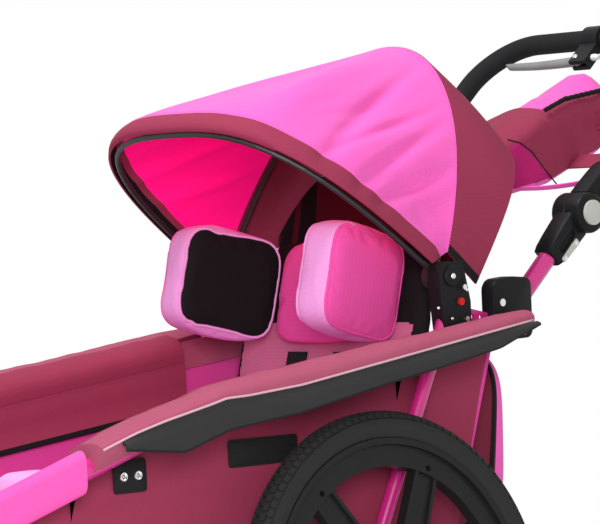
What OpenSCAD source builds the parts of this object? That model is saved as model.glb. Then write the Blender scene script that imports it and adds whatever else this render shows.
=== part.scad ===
// Special needs buggy: a fabric tub on a tubular frame, with a folding hood, a winged headrest,
// cambered rear wheels and a push bar whose handle changes its angle.
// +X is the buggy's left side, -Y its front, +Z up, and the ground is at Z = 0.

/* [Rear wheels] */
// Outer radius of the rear tyre
wheel_r = 245; // [225:1:255]
// Width of the rear tyre
tyre_w = 42; // [38:1:46]
// Radius at which the rear tyre sits on its wheel
wheel_seat_r = 209; // [206:1:212]
// Inner radius of the rear wheel's web
wheel_web_r = 174; // [160:1:185]
// Width of the rear wheel across its rim
rim_w = 31; // [26:1:34]
// Number of spokes on a rear wheel
spoke_count = 6; // [5:1:8]
// Lean of the rear wheels, tops inward
wheel_camber = 9; // [4:1:10]
// Distance of a rear hub's centre from the buggy's middle
hub_x = 305; // [303:1:330]
// Length of a rear hub
hub_len = 62; // [56:1:66]
// Radius of a rear hub
hub_r = 30; // [26:1:36]
// Radius of a rear wheel's axle
axle_r = 6; // [5:0.5:7]

/* [Front wheel] */
// Outer radius of the front tyre
front_r = 152; // [135:1:156]
// Width of the front tyre
front_tyre_w = 44; // [40:1:48]
// Radius at which the front tyre sits on its wheel
front_seat_r = 114; // [112:1:116]
// Distance of the head tube ahead of the rear axle
head_y = 790; // [785:1:840]
// Distance of the front axle behind the head tube
fork_trail = 45; // [35:1:55]
// Radius of the front axle
front_axle_r = 5; // [4:0.5:6]

/* [Frame] */
// Radius of the main frame tubes
tube_r = 12.5; // [11:0.5:13]
// Distance of a side rail from the buggy's middle
rail_x = 258; // [256:1:266]
// Height of a side rail over the rear axle
rail_z = 540; // [535:1:560]
// Slope of a side rail, rising to the rear
rail_slope = 7; // [5:0.5:9]
// Slope of the rail's front part
nose_slope = 18; // [14:0.5:20]
// Rear end of a side rail behind the rear axle
rail_rear = 285; // [280:1:290]
// Bend of a side rail ahead of the rear axle
rail_bend = 250; // [230:5:270]
// Front end of a side rail ahead of the rear axle
rail_front = 650; // [640:5:655]
// Corner radius of the nose tube
nose_r = 105; // [90:5:110]
// Radius of the axle beam
beam_r = 15; // [13:0.5:16]
// Radius of a rear upright
upright_r = 9.5; // [8:0.5:9.5]
// Distance of a rear upright from the buggy's middle
upright_x = 234; // [233.5:0.5:235]

/* [Tub] */
// Half width of the tub, to the outside of its side panels
tub_x = 223; // [215:1:223]
// Thickness of a side panel
panel_t = 8; // [6:1:10]
// Height of the seat shelf
shelf_z = 250; // [250:1:260]
// Thickness of the tub floor
floor_t = 6; // [5:0.5:7]
// Width of the seat cushion
seat_w = 390; // [340:5:400]
// Thickness of the seat cushion
seat_t = 46; // [35:1:55]
// Width of a rail pad, outward from its rail
pad_out = 33; // [30:1:36]
// Height of a rail pad above its rail's middle
pad_up = 24; // [21:1:28]
// Drop of a mud flap below its rail's middle
flap_drop = 29; // [24:1:32]

/* [Backrest and headrest] */
// Lean of the backrest from upright
back_lean = 14; // [10:1:16]
// Width of the backrest
back_w = 380; // [340:5:390]
// Height of the backrest
back_h = 425; // [400:5:440]
// Thickness of the backrest
back_t = 35; // [28:1:38]
// Space between the headrest's wings
wing_gap = 176; // [165:1:190]
// Thickness of a headrest wing
wing_t = 61; // [50:1:64]
// Depth of a headrest wing, front to back
wing_d = 163; // [140:1:170]
// Height of a headrest wing
wing_h = 150; // [130:1:160]
// Flare of a headrest wing, opening to the front
wing_flare = 9.5; // [5:0.5:12]

/* [Hood] */
// Distance of the hood's pivot behind the rear axle
hood_y = 174; // [172:1:176]
// Height of the hood's pivot
hood_z = 645; // [643:1:650]
// Angle of the front bow from the rear horizontal
front_bow_angle = 143; // [135:1:148]
// Angle of the main bow from the rear horizontal
main_bow_angle = 67; // [62:1:74]
// Slope of the rear hem
rear_hem_angle = 55.5; // [52:0.5:59]
// Reach of the front bow
front_reach = 336; // [320:1:350]
// Reach of the main bow
main_reach = 339; // [330:1:350]
// Reach of the rear hem
rear_reach = 265; // [255:1:275]
// Half width of the hood at its front
front_half = 236; // [233:1:242]
// Half width of the hood at its main bow
main_half = 226; // [225:1:232]
// Radius of a hood bow
bow_r = 4; // [3:0.5:4]
// Thickness of the hood's fabric
hood_t = 3; // [2:0.5:4]

/* [Push bar] */
// Distance of a push bar tube from the buggy's middle
push_x = 208; // [205:0.5:208]
// Angle of the push bar above the horizontal
push_angle = 42.6; // [38:0.2:48]
// Distance of the fold pivot behind the rear axle
fold_y = 298; // [296:1:302]
// Height of the fold pivot
fold_z = 578; // [576:1:582]
// Length from the fold pivot to the angle hinge
push_len = 207; // [195:1:230]
// Length from the angle hinge to the handle's crossbar
handle_len = 368; // [345:1:400]
// Corner radius of the handle
handle_bend = 87; // [75:1:95]
// Radius of the handle tube
handle_r = 11; // [10:0.5:12]
// Radius of the foam grip
grip_r = 15; // [14:0.5:17]
// Radius of an angle hinge's hub
hinge_r = 28; // [26:1:31]
// Radius of a hinge button
button_r = 17; // [14:0.5:18]
// Travel of a hinge button
button_travel = 3; // [2:0.5:4]
// Length of the brake lever
lever_len = 142; // [110:2:150]

/* [Hidden] */
$fn = 64;
overrun = 1;
seat_gap = 0.3;
fit = 0.05;

// Wheel details
tyre_wall = 4;
hoop_t = 8;
web_w = 18;
spoke_hub_w = 46;
spoke_rim_w = 36;
spoke_web_t = 7;
spoke_rib = 5;
spoke_rib_h = 16;
spoke_hole_r = 4;
spoke_hole_in = 8;
spoke_turn = 35;
bearing_r = 14;
bearing_w = 10;
axle_head_r = 11;
axle_head_t = 5;
hub_side_gap = 2;
housing_r = 14;
housing_len = 66;
housing_root = 4;
hub_z = (wheel_r - tyre_w / 2) * cos(wheel_camber) + tyre_w / 2;
housing_end = hub_len / 2 + hub_side_gap;
beam_reach = housing_end + housing_len;
beam_x = hub_x - beam_reach * cos(wheel_camber);
beam_z = hub_z - beam_reach * sin(wheel_camber);

// Front wheel and fork details
front_web_r = 92;
front_rim_w = 32;
front_hub_r = 24;
front_hub_len = 60;
front_bearing_r = 12;
front_spokes = 6;
front_spoke_hub_w = 22;
front_spoke_rim_w = 24;
stem_r = 12;
head_r = 20;
head_h = 90;
crown_gap = 6;
crown_t = 12;
crown_half = 49;
crown_depth = 60;
leg_x = 40;
leg_r = 8;
dropout_r = 14;
dropout_w = 17;
axle_nut_r = 9;
axle_nut_t = 6;
front_y = -(head_y - fork_trail);
crown_z = 2 * front_r + crown_gap;
head_z = crown_z + crown_t + seat_gap;

// Rail line in the side view, and the nose tube in the rail's front slope
function rail_at(y) = y > -rail_bend
    ? rail_z + y * tan(rail_slope)
    : rail_z - rail_bend * tan(rail_slope) + (y + rail_bend) * tan(nose_slope);
nose_y = -rail_front - nose_r * cos(nose_slope);
nose_z = rail_at(-rail_front) - nose_r * sin(nose_slope);
nose_len = (rail_front - rail_bend) / cos(nose_slope) + nose_r;
rail_len = (rail_rear + rail_bend) / cos(rail_slope);
rail_joint = tube_r * tan((nose_slope - rail_slope) / 2) + seat_gap / 2;
weld = 0.5;
lower_r = 11;
lower_x = 190;
lower_nose_x = 140;

// Tub outline in the side view, from the rear wall's top to the nose
rear_wall_top = [262, 545];
rear_wall_foot = [165, shelf_z];
shelf_front = [-395, shelf_z];
well_rear = [-430, 196];
well_front = [-555, 186];
toe_top = [-640, 310];
nose_edge_spare = 2.8;
nose_edge_in = tube_r + nose_edge_spare;
nose_edge_up = 5;
nose_edge = [nose_y + nose_edge_in, nose_z + nose_edge_up];
tub_path = [rear_wall_top, rear_wall_foot, shelf_front, well_rear, well_front, toe_top, nose_edge];
tub_in = tub_x - panel_t - seat_gap;
panel_rear = 256;
panel_front = -640;
panel_under_rail = 20;
footplate_w = 300;
footplate_t = 9;
footplate_rise_shares = [0.08, 0.92];

// Pads, flaps and sleeves on the rails
pad_front = -437;
pad_rear = 279;
pad_gap = 1.2;
pad_inner_end = 90;
pad_inner = 52;
pad_inner_t = 8;
pad_panel_room = 4;
pad_inner_drop = 80;
pad_under = 6;
pad_front_rings = 6;
pad_rear_rings = 9;
pad_top_shares = [[1, 0.35], [0.78, 0.8], [0.36, 1], [0, 0.94]];
pad_roll_shares = [[-0.45, 0.88], [-0.8, 0.55], [-0.95, 0.1]];
pad_side_shares = [[-0.99, -0.2], [-1, -0.55], [-1, -1]];
// Heights of the pad's top and outer edge, from the front end to the rear
pad_rise_shares = [[0, 1.42], [0.06, 1.33], [0.14, 1.17], [0.22, 0.97], [1, 1]];
pad_low_shares = [[0, 1], [0.07, 0.93], [0.13, 0.78], [0.18, 0.6], [0.23, 0.42], [0.31, 0.2], [0.43, 0.05],
                  [1, 0.35]];
pad_edge_share = 0.55;
pad_edge_turn = 140;
pad_end_share = 0.88;
pad_end_run_share = 0.1;
channel_steps = 10;
channel_wrap = 220;
flap_t = 2.5;
flap_flare = 7;
flap_front = -400;
flap_wave = 2;
flap_waves = 3;
flap_low_shares = [[0.05, -0.3], [0.16, 0.9], [0.26, 1], [0.42, 1.03], [0.65, 0.76], [0.9, 0.5], [0.97, 0.1],
                   [1, -0.1]];
sleeve_start = 447;
sleeve_end = 640;
sleeve_h = 50;
sleeve_wall = 1.6;

// Small pieces on the tub's sides
tab_size = [2, 50, 40];
tab_at = [-374, 412];
patch_size = [2, 112, 34];
patch_at = [-196, 428];
stud_r = 6;
stud_t = 2.5;
stud_hole_r = 2;
stud_shares = [0.28, 0.72];

// Hood bracket, gusset and fold block
bracket_in = 222;
bracket_out = 244.5;
bracket_ahead = 22;
bracket_below = 68;
bracket_w = 54;
bracket_h = 87;
bracket_shares = [[0.11, 0], [1, 0], [1, 0.4], [0.78, 1], [0.15, 1], [0, 0.86], [0, 0.63]];
hood_pin_r = 5;
disc_r = 18;
disc_t = 7.2;
bow_gap = 0.8;
pin_head_r = 8;
pin_head_t = 3;
cap_r = 13;
cap_t = 2.5;
hood_button_r = 5;
hood_button_shares = [0.65, 0.4];
hood_button_out = 3.5;
hood_button_len = 10;
hood_button_travel = 2.5;
gusset_t = 4;
gusset_x = 230;
gusset_h = 25;
gusset_shares = [[0, 0.04], [1, 0.2], [1, 0.64], [0, 1]];
gusset_hole_shares = [[0.3, 0.48], [0.68, 0.44]];
gusset_hole_r = 3;
fold_ahead = 52;
fold_below = 22;
fold_w = 72;
fold_h = 84;
fold_shares = [[0, 0.07], [0.08, 0], [0.92, 0.02], [1, 0.1], [1, 0.93], [0.92, 1], [0.11, 1], [0, 0.88]];
fold_out = rail_x - tube_r - seat_gap;
fold_pin_r = 5;
fold_boss_r = 15;
screw_r = 3.5;
screw_t = 2;
bracket_screw_shares = [[0.8, 0.61], [0.85, 0.13]];
fold_screw_shares = [0.22, 0.6];
fold_screw_r = 5;
upright_foot_y = -8;
upright_top_ahead = 8;
upright_top_drop = 57;
function bracket_point(share) =
    [hood_y - bracket_ahead + share[0] * bracket_w, hood_z - bracket_below + share[1] * bracket_h];
function fold_point(share) =
    [fold_y - fold_ahead + share[0] * fold_w, fold_z - fold_below + share[1] * fold_h];
function gusset_point(share) =
    [mix(bracket_point([1, 0])[0] + seat_gap, fold_point([0, 0])[0] - seat_gap, share[0]),
     fold_z + share[1] * gusset_h];
hood_button_at = bracket_point(hood_button_shares);

// Hood arch details
front_power = 3;
main_power = 2;
rear_power = 4.4;
rear_half = 221;
hem_rise = 34;
rear_rise = 30;
rear_base = [49.3, -37.7];
rear_bulge_power = 0.56;
rim_rise = 28;
rim_turn_share = 0.045;
rim_spread_power = 0.5;
rim_crowd_power = 1.7;
arch_steps = 28;
hood_steps = 6;
bow_inset = hood_t + bow_r / cos((front_bow_angle - main_bow_angle) / 2) + seat_gap;
bow_sides = 8;
fold_depth = 3;
fold_count = 5;
rear_bulge = 10.5;
seam_gap_share = 0.004;
main_bow_x = 210;
front_bow_x = main_bow_x + disc_t + bow_gap;

// Backrest details
back_pivot = [112, 285];
back_foot = 6;
back_rod_r = 8;
wing_flat_share = 0.07;
head_low = 269;
head_pad_t = 28;
head_pad_h = 150;
belt_w = 38;
belt_t = 2.4;
belt_x = 46;
belt_low = 62;
belt_high = 265;
buckle_size = [70, 12, 44];
pad_points = 32;
pad_power = 4.5;
pad_layer_shares = [[-0.5, 0.62], [-0.46, 0.8], [-0.36, 0.93], [-0.16, 1], [0.16, 1], [0.36, 0.93],
                    [0.46, 0.8], [0.5, 0.62]];
seat_rear = 84;
seat_front = -385;
pommel_size = [112, 92, 134];
pommel_y = -322;
bag_w = 368;
bag_rear = 335;
bag_low = 300;
bag_high = 548;

// Push bar details
fold_at = [fold_y, fold_z];
push_dir = [cos(push_angle), sin(push_angle)];
hinge_at = fold_at + push_len * push_dir;
hinge_half = 26;
hinge_split = 0.3;
arm_start = 14;
arm_len = 88;
arm_socket = 40;
arm_h = 31;
arm_half = 17;
hinge_pin_r = 6;
button_proud = 3.2;
button_len = 6.4;
pocket_spare = 0.8;
hinge_pocket = button_len - button_proud + button_travel + pocket_spare;
clamp_r = 20;
clamp_half = 16;
clamp_arm_w = 18;
clamp_reach = 56;
lever_drop = 46;
lever_x = -8;
lever_w = 15;
lever_tip_w = 10;
lever_t = 5;
lever_slot = 6;
lever_pin_r = 3;
lever_eye_r = 8;
grip_start = 221;
cable_r = 2.2;
cable_sides = 8;
// Cable route along the handle: across, along from the crossbar, off the handle's plane
cable_route = [[17, -40, 0], [40, -33, 0], [70, -24, 0], [100, -19, 0], [121, -18.5, 0], [140, -21, 0],
               [155, -28, 0], [169, -39, 0], [180, -53, 0], [187, -70, 0], [189, -87, 0], [189, -120, 0],
               [189, -160, 0], [190, -200, 0], [192, -235, 0], [194, -260, 0], [194, -279.6, 0]];
pouch_w = 230;
pouch_len = 262;
pouch_t = 76;
pouch_at = [125, 24.5];
pouch_tilt = 20;
pouch_strap_w = 26;
pouch_strap_t = 2.5;
pouch_strap_at = [118, 196];
// Ends of the thin strap that holds the pouch's front: across, along, off the handle's plane
tie_start = [90, 14, 45];
tie_end = [187, 47, 12];
tie_w = 8;
tie_t = 2;

// Middle of the buggy's length, which is the origin
length_rear = hinge_at[0] + handle_len * push_dir[0] + clamp_r;
length_front = front_y - front_r;
origin_y = (length_rear + length_front) / 2;

// Shared shapes

function unit(v) = v / norm(v);
function signed_power(v, p) = sign(v) * pow(abs(v), p);
function mix(p, q, s) = p + (q - p) * s;

// Children stand along a line from p towards q
module along(p, q) {
    d = q - p;
    translate(p) rotate([0, acos(d[2] / norm(d)), atan2(d[1], d[0])]) children();
}

// Round rod from p to q
module rod(p, q, r) {
    along(p, q) cylinder(h = norm(q - p), r = r);
}

// Cylinder along X between two distances from the middle, at a point of the side view
module cross_pin(x0, x1, at, r) {
    translate([min(x0, x1), at[0], at[1]]) rotate([0, 90, 0]) cylinder(h = abs(x1 - x0), r = r);
}

// Side-view outline, thickened along X between two distances from the middle
module side_plate(x0, x1) {
    translate([x0, 0, 0]) rotate([90, 0, 90]) linear_extrude(height = x1 - x0) children();
}

// Round tube along points, with a true bend at each inner point
function bend_dir(pts, i) = unit(pts[i + 1] - pts[i]);
function bend_turn(pts, i) = acos(bend_dir(pts, i - 1) * bend_dir(pts, i));
function bend_cut(pts, i, bend) = (i == 0 || i == len(pts) - 1) ? 0 : bend * tan(bend_turn(pts, i) / 2);
module bent_tube(pts, r, bend) {
    for (i = [0 : len(pts) - 2])
        rod(pts[i] + bend_dir(pts, i) * bend_cut(pts, i, bend),
            pts[i + 1] - bend_dir(pts, i) * bend_cut(pts, i + 1, bend), r);
    for (i = [1 : 1 : len(pts) - 2]) {
        d1 = bend_dir(pts, i - 1);
        d2 = bend_dir(pts, i);
        side = unit(d2 - d1 * (d1 * d2));
        centre = pts[i] - d1 * bend_cut(pts, i, bend) + side * bend;
        up = cross(-side, d1);
        multmatrix([[-side[0], d1[0], up[0], centre[0]], [-side[1], d1[1], up[1], centre[1]],
                    [-side[2], d1[2], up[2], centre[2]], [0, 0, 0, 1]])
            rotate_extrude(angle = bend_turn(pts, i)) translate([bend, 0]) circle(r = r);
    }
}

// Round tube along points, welded at each inner point
module welded_tube(pts, r) {
    for (i = [0 : len(pts) - 2]) rod(pts[i], pts[i + 1], r);
    for (i = [1 : 1 : len(pts) - 2]) translate(pts[i]) sphere(r = r + weld);
}

// Closed skin over a list of rings of points, each ring counted right-handed about the way it goes
module skin(rings) {
    count = len(rings[0]);
    last = len(rings) - 1;
    sides = [for (k = [0 : last - 1], i = [0 : count - 1])
        let (a = k * count + i, b = k * count + (i + 1) % count)
        each [[a, b + count, b], [a, a + count, b + count]]];
    caps = [[for (i = [0 : count - 1]) i], [for (i = [0 : count - 1]) last * count + count - 1 - i]];
    polyhedron(points = [for (ring = rings) each ring], faces = concat(sides, caps), convexity = 6);
}

// Closed sheet between an outer and an inner grid of points, rows along the arch
module sheet(outer, inner) {
    rows = len(outer);
    cols = len(outer[0]);
    base = rows * cols;
    top = [for (i = [0 : rows - 2], j = [0 : cols - 2])
        let (a = i * cols + j)
        each [[a, a + cols + 1, a + 1], [a, a + cols, a + cols + 1]]];
    bottom = [for (f = top) [f[2] + base, f[1] + base, f[0] + base]];
    rim = concat([for (j = [0 : cols - 2]) j], [for (i = [0 : rows - 2]) i * cols + cols - 1],
                 [for (j = [cols - 1 : -1 : 1]) (rows - 1) * cols + j], [for (i = [rows - 1 : -1 : 1]) i * cols]);
    edge = [for (k = [0 : len(rim) - 1])
        let (a = rim[k], b = rim[(k + 1) % len(rim)])
        each [[a, b, a + base], [b, b + base, a + base]]];
    polyhedron(points = concat([for (row = outer) each row], [for (row = inner) each row]),
               faces = concat(top, bottom, edge), convexity = 6);
}

// Tube along points that lie in one plane, given the plane's normal
module swept_tube(pts, normal, r, sides) {
    last = len(pts) - 1;
    skin([for (k = [0 : last])
        let (t = unit(pts[min(k + 1, last)] - pts[max(k - 1, 0)]), n = cross(normal, t))
        [for (s = [0 : sides - 1]) pts[k] + r * (cos(360 * s / sides) * n + sin(360 * s / sides) * normal)]]);
}

// Padded form with a crowned top and bottom and drawn-in sides, centred, thick along Z
module padding(w, h, t) {
    skin([for (layer = pad_layer_shares)
        [for (i = [0 : pad_points - 1])
            let (a = 360 * i / pad_points)
            [w / 2 * layer[1] * signed_power(cos(a), 2 / pad_power),
             h / 2 * layer[1] * signed_power(sin(a), 2 / pad_power), t * layer[0]]]]);
}

// A second copy on the buggy's right side
module both_sides() {
    children();
    mirror([1, 0, 0]) children();
}

// Everything is drawn from the rear axle and set down about the middle of the length
module placed() {
    translate([0, -origin_y, 0]) children();
}

// Wheels

module tyre_form(outer_r, width, bead_r) {
    middle_r = outer_r - width / 2;
    rotate_extrude() difference() {
        translate([middle_r, 0]) circle(r = width / 2);
        translate([middle_r, 0]) circle(r = width / 2 - tyre_wall);
        translate([0, -width]) square([bead_r, 2 * width]);
    }
}

module spoke(hub_radius, rim_radius, hub_w, rim_w) {
    linear_extrude(height = spoke_web_t, center = true)
        polygon([[hub_radius, -hub_w / 2], [rim_radius, -rim_w / 2], [rim_radius, rim_w / 2], [hub_radius, hub_w / 2]]);
    for (s = [-1, 1])
        linear_extrude(height = spoke_rib_h, center = true)
            polygon([[hub_radius, s * hub_w / 2], [rim_radius, s * rim_w / 2],
                     [rim_radius, s * (rim_w / 2 - spoke_rib)], [hub_radius, s * (hub_w / 2 - spoke_rib)]]);
}

module rim_form(bead_r, web_r, width, hub_radius, hub_length, bore_r, count, hub_w, end_w) {
    hoop_r = bead_r - hoop_t;
    difference() {
        union() {
            rotate_extrude() polygon([[web_r, -web_w / 2], [hoop_r, -web_w / 2], [hoop_r, -width / 2],
                [bead_r - fit, -width / 2], [bead_r - fit, width / 2], [hoop_r, width / 2], [hoop_r, web_w / 2],
                [web_r, web_w / 2]]);
            cylinder(h = hub_length, r = hub_radius, center = true);
            for (i = [0 : count - 1])
                rotate([0, 0, 180 + spoke_turn + 360 * i / count])
                    spoke(hub_radius - hoop_t, web_r + hoop_t, hub_w, end_w);
        }
        cylinder(h = hub_length + 2 * overrun, r = bore_r, center = true);
        for (i = [0 : count - 1])
            rotate([0, 0, 180 + spoke_turn + 360 * i / count])
                translate([web_r + spoke_hole_in, 0, 0])
                    cylinder(h = web_w + 2 * overrun, r = spoke_hole_r, center = true);
    }
}

module bearing_pair(hub_length, outer_r, inner_r) {
    for (s = [-1, 1])
        translate([0, 0, s * (hub_length - bearing_w) / 2])
            difference() {
                cylinder(h = bearing_w, r = outer_r - fit, center = true);
                cylinder(h = bearing_w + 2 * overrun, r = inner_r + fit, center = true);
            }
}

// The left hub's own frame: its axle lies along Z, pointing outward
module on_left_hub() {
    translate([hub_x, 0, hub_z]) rotate([0, 90 - wheel_camber, 0]) children();
}

module on_right_hub() {
    mirror([1, 0, 0]) on_left_hub() children();
}

module left_tyre() {
    color("#1d1d1e") on_left_hub() tyre_form(wheel_r, tyre_w, wheel_seat_r);
}

module right_tyre() {
    color("#1d1d1e") on_right_hub() tyre_form(wheel_r, tyre_w, wheel_seat_r);
}

module rear_rim() {
    rim_form(wheel_seat_r, wheel_web_r, rim_w, hub_r, hub_len, bearing_r, spoke_count, spoke_hub_w, spoke_rim_w);
}

module left_rim() {
    color("#232325") on_left_hub() rear_rim();
}

module right_rim() {
    color("#232325") on_right_hub() rear_rim();
}

module left_bearings() {
    color("#b9bcc0") on_left_hub() bearing_pair(hub_len, bearing_r, axle_r);
}

module right_bearings() {
    color("#b9bcc0") on_right_hub() bearing_pair(hub_len, bearing_r, axle_r);
}

module wheel_axle() {
    translate([0, 0, -housing_end - housing_len / 2])
        cylinder(h = housing_end + housing_len / 2 + hub_len / 2 + overrun, r = axle_r);
    translate([0, 0, hub_len / 2 + overrun]) cylinder(h = axle_head_t, r = axle_head_r);
}

module wheel_axles() {
    color("#c3c5c8") {
        on_left_hub() wheel_axle();
        on_right_hub() wheel_axle();
    }
}

module on_front_axle() {
    translate([0, front_y, front_r]) rotate([0, 90, 0]) children();
}

module front_tyre() {
    color("#1d1d1e") on_front_axle() tyre_form(front_r, front_tyre_w, front_seat_r);
}

module front_rim() {
    color("#232325") on_front_axle()
        rim_form(front_seat_r, front_web_r, front_rim_w, front_hub_r, front_hub_len, front_bearing_r,
                 front_spokes, front_spoke_hub_w, front_spoke_rim_w);
}

module front_bearings() {
    color("#b9bcc0") on_front_axle() bearing_pair(front_hub_len, front_bearing_r, front_axle_r);
}

module front_axle() {
    reach = leg_x + dropout_w / 2 + seat_gap;
    color("#c3c5c8") on_front_axle() {
        cylinder(h = 2 * reach + overrun, r = front_axle_r, center = true);
        for (s = [-1, 1])
            translate([0, 0, s * (reach + axle_nut_t / 2)])
                cylinder(h = axle_nut_t, r = axle_nut_r, center = true);
    }
}

module front_fork() {
    axle_at = [front_y, front_r];
    color("#d81b82") difference() {
        union() {
            translate([0, -head_y, crown_z]) cylinder(h = crown_t + head_h, r = stem_r);
            translate([-crown_half, -head_y - crown_depth / 2, crown_z])
                cube([2 * crown_half, crown_depth, crown_t]);
            for (s = [-1, 1]) {
                rod([s * leg_x, front_y, front_r], [s * leg_x, -head_y, crown_z + crown_t / 2], leg_r);
                cross_pin(s * leg_x - dropout_w / 2, s * leg_x + dropout_w / 2, axle_at, dropout_r);
            }
        }
        cross_pin(-crown_half - overrun, crown_half + overrun, axle_at, front_axle_r + fit);
    }
}

// Frame

module rail() {
    translate([rail_x, -rail_bend, rail_at(-rail_bend)]) rotate([rail_slope - 90, 0, 0])
        translate([0, 0, rail_joint]) cylinder(h = rail_len - rail_joint, r = tube_r);
}

module left_rail() {
    color("#e0248f") rail();
}

module right_rail() {
    color("#e0248f") mirror([1, 0, 0]) rail();
}

module nose_tube() {
    end = nose_len - rail_joint;
    color("#e0248f") translate([0, nose_y, nose_z]) rotate([nose_slope, 0, 0])
        bent_tube([[rail_x, end, 0], [rail_x, 0, 0], [-rail_x, 0, 0], [-rail_x, end, 0]], tube_r, nose_r);
}

module nose_bar(clearance) {
    cross_pin(-rail_x, rail_x, [nose_y, nose_z], tube_r + clearance);
}

module lower_tube() {
    under = [for (i = [0 : len(tub_path) - 1])
        path_side(tub_path, i, -(floor_t + lower_r + weld + seat_gap))];
    end = under[6] + nose_edge_in * unit(nose_edge - toe_top);
    difference() {
        welded_tube([[lower_x, 0, beam_z], [lower_x, under[2][0], beam_z], [lower_x, under[3][0], under[3][1]],
                     [lower_x, under[4][0], under[4][1]], [lower_nose_x, under[5][0], under[5][1]],
                     [lower_nose_x, end[0], end[1]]], lower_r);
        rod([0, 0, beam_z], [rail_x, 0, beam_z], beam_r + fit);
        nose_bar(fit);
    }
}

module lower_tubes() {
    color("#e0248f") both_sides() lower_tube();
}

module housing(clearance) {
    on_left_hub() translate([0, 0, -beam_reach - housing_root])
        cylinder(h = housing_len + housing_root, r = housing_r + clearance);
}

module axle_beam() {
    color("#2a2a2c") difference() {
        union() {
            rod([-beam_x, 0, beam_z], [beam_x, 0, beam_z], beam_r);
            both_sides() housing(0);
        }
        both_sides() on_left_hub() translate([0, 0, -housing_end - housing_len / 2 - overrun])
            cylinder(h = housing_len, r = axle_r + fit);
    }
}

module upright_rod(clearance) {
    rod([upright_x, upright_foot_y, beam_z], [upright_x, hood_y - upright_top_ahead, hood_z - upright_top_drop], upright_r + clearance);
}

module rear_uprights() {
    color("#e0248f") both_sides() difference() {
        upright_rod(0);
        housing(fit);
    }
}

module head_tube() {
    color("#e0248f") difference() {
        union() {
            translate([0, -head_y, head_z]) cylinder(h = head_h, r = head_r);
            translate([-head_r, -head_y, nose_z - tube_r]) cube([2 * head_r, head_y + nose_y, 2 * tube_r]);
        }
        translate([0, -head_y, head_z - overrun]) cylinder(h = head_h + 2 * overrun, r = stem_r + fit);
        nose_bar(fit);
    }
}

module hood_brackets() {
    color("#222224") both_sides() {
        difference() {
            union() {
                side_plate(bracket_in, bracket_out) polygon([for (q = bracket_shares) bracket_point(q)]);
                cross_pin(bracket_in, main_bow_x - disc_t / 2 - fit, [hood_y, hood_z], hood_pin_r);
                cross_pin(main_bow_x - disc_t / 2 - fit, main_bow_x - disc_t / 2 - pin_head_t, [hood_y, hood_z],
                          pin_head_r);
            }
            upright_rod(seat_gap);
            cross_pin(bracket_out + overrun, bracket_out - hood_button_len, hood_button_at, hood_button_r + fit);
        }
    }
}

module hood_gussets() {
    color("#e0248f") both_sides() side_plate(gusset_x, gusset_x + gusset_t) difference() {
        polygon([for (q = gusset_shares) gusset_point(q)]);
        for (q = gusset_hole_shares) translate(gusset_point(q)) circle(r = gusset_hole_r);
    }
}

module fold_blocks() {
    pin_end = push_x - tube_r - seat_gap;
    color("#1b1b1d") both_sides() {
        side_plate(bracket_in, fold_out) polygon([for (q = fold_shares) fold_point(q)]);
        cross_pin(bracket_in, pin_end, fold_at, fold_pin_r);
        cross_pin(pin_end, pin_end - pin_head_t, fold_at, pin_head_r);
    }
}

module frame_screws() {
    color("#c9c9c6") both_sides() {
        cross_pin(bracket_out, bracket_out + cap_t, [hood_y, hood_z], cap_r);
        for (q = bracket_screw_shares) cross_pin(bracket_out, bracket_out + screw_t, bracket_point(q), screw_r);
        cross_pin(fold_out, fold_out + screw_t, fold_point(fold_screw_shares), fold_screw_r);
    }
}

module hood_button() {
    cross_pin(bracket_out + hood_button_out, bracket_out + hood_button_travel - hood_button_len + seat_gap,
              hood_button_at, hood_button_r);
}

module left_hood_button() {
    color("#d32424") hood_button();
}

module right_hood_button() {
    color("#d32424") mirror([1, 0, 0]) hood_button();
}

// Tub

function path_side(p, i, d) = let (
        a = i == 0 ? p[1] - p[0] : p[i] - p[i - 1],
        b = i == len(p) - 1 ? p[i] - p[i - 1] : p[i + 1] - p[i],
        m = unit([a[1], -a[0]]),
        n = unit([b[1], -b[0]]))
    p[i] + d * (m + n) / (1 + m * n);

module tub_floor() {
    last = len(tub_path) - 1;
    color("#8c2350") difference() {
        side_plate(-tub_in, tub_in)
            polygon(concat(tub_path, [for (i = [last : -1 : 0]) path_side(tub_path, i, -floor_t)]));
        both_sides() nose_corner();
    }
}

// What lies outside the nose tube's bend, with a little room
module nose_corner() {
    room = tube_r + seat_gap;
    translate([rail_x - nose_r, nose_y, nose_z]) rotate([nose_slope, 0, 0]) difference() {
        translate([0, -nose_r, -nose_r]) cube([nose_r, 2 * nose_r, 2 * nose_r]);
        translate([0, nose_r, -nose_r - overrun]) cylinder(h = 2 * nose_r + 2 * overrun, r = nose_r - room);
    }
}

module side_panel() {
    top = [for (y = [panel_rear, -rail_bend, panel_front]) [y, rail_at(y) - panel_under_rail]];
    low = [for (i = [1 : len(tub_path) - 2]) path_side(tub_path, i, -floor_t)];
    color("#8a2a52") side_plate(tub_x - panel_t, tub_x)
        polygon(concat([for (i = [len(low) - 1 : -1 : 0]) low[i]], top));
}

module left_side_panel() {
    side_panel();
}

module right_side_panel() {
    mirror([1, 0, 0]) side_panel();
}

module footplate() {
    a = mix(well_front, toe_top, footplate_rise_shares[0]);
    b = mix(well_front, toe_top, footplate_rise_shares[1]);
    n = unit([b[1] - a[1], a[0] - b[0]]);
    color("#27272a") side_plate(-footplate_w / 2, footplate_w / 2)
        polygon([a + n * seat_gap, b + n * seat_gap, b + n * (footplate_t + seat_gap), a + n * (footplate_t + seat_gap)]);
}

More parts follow.
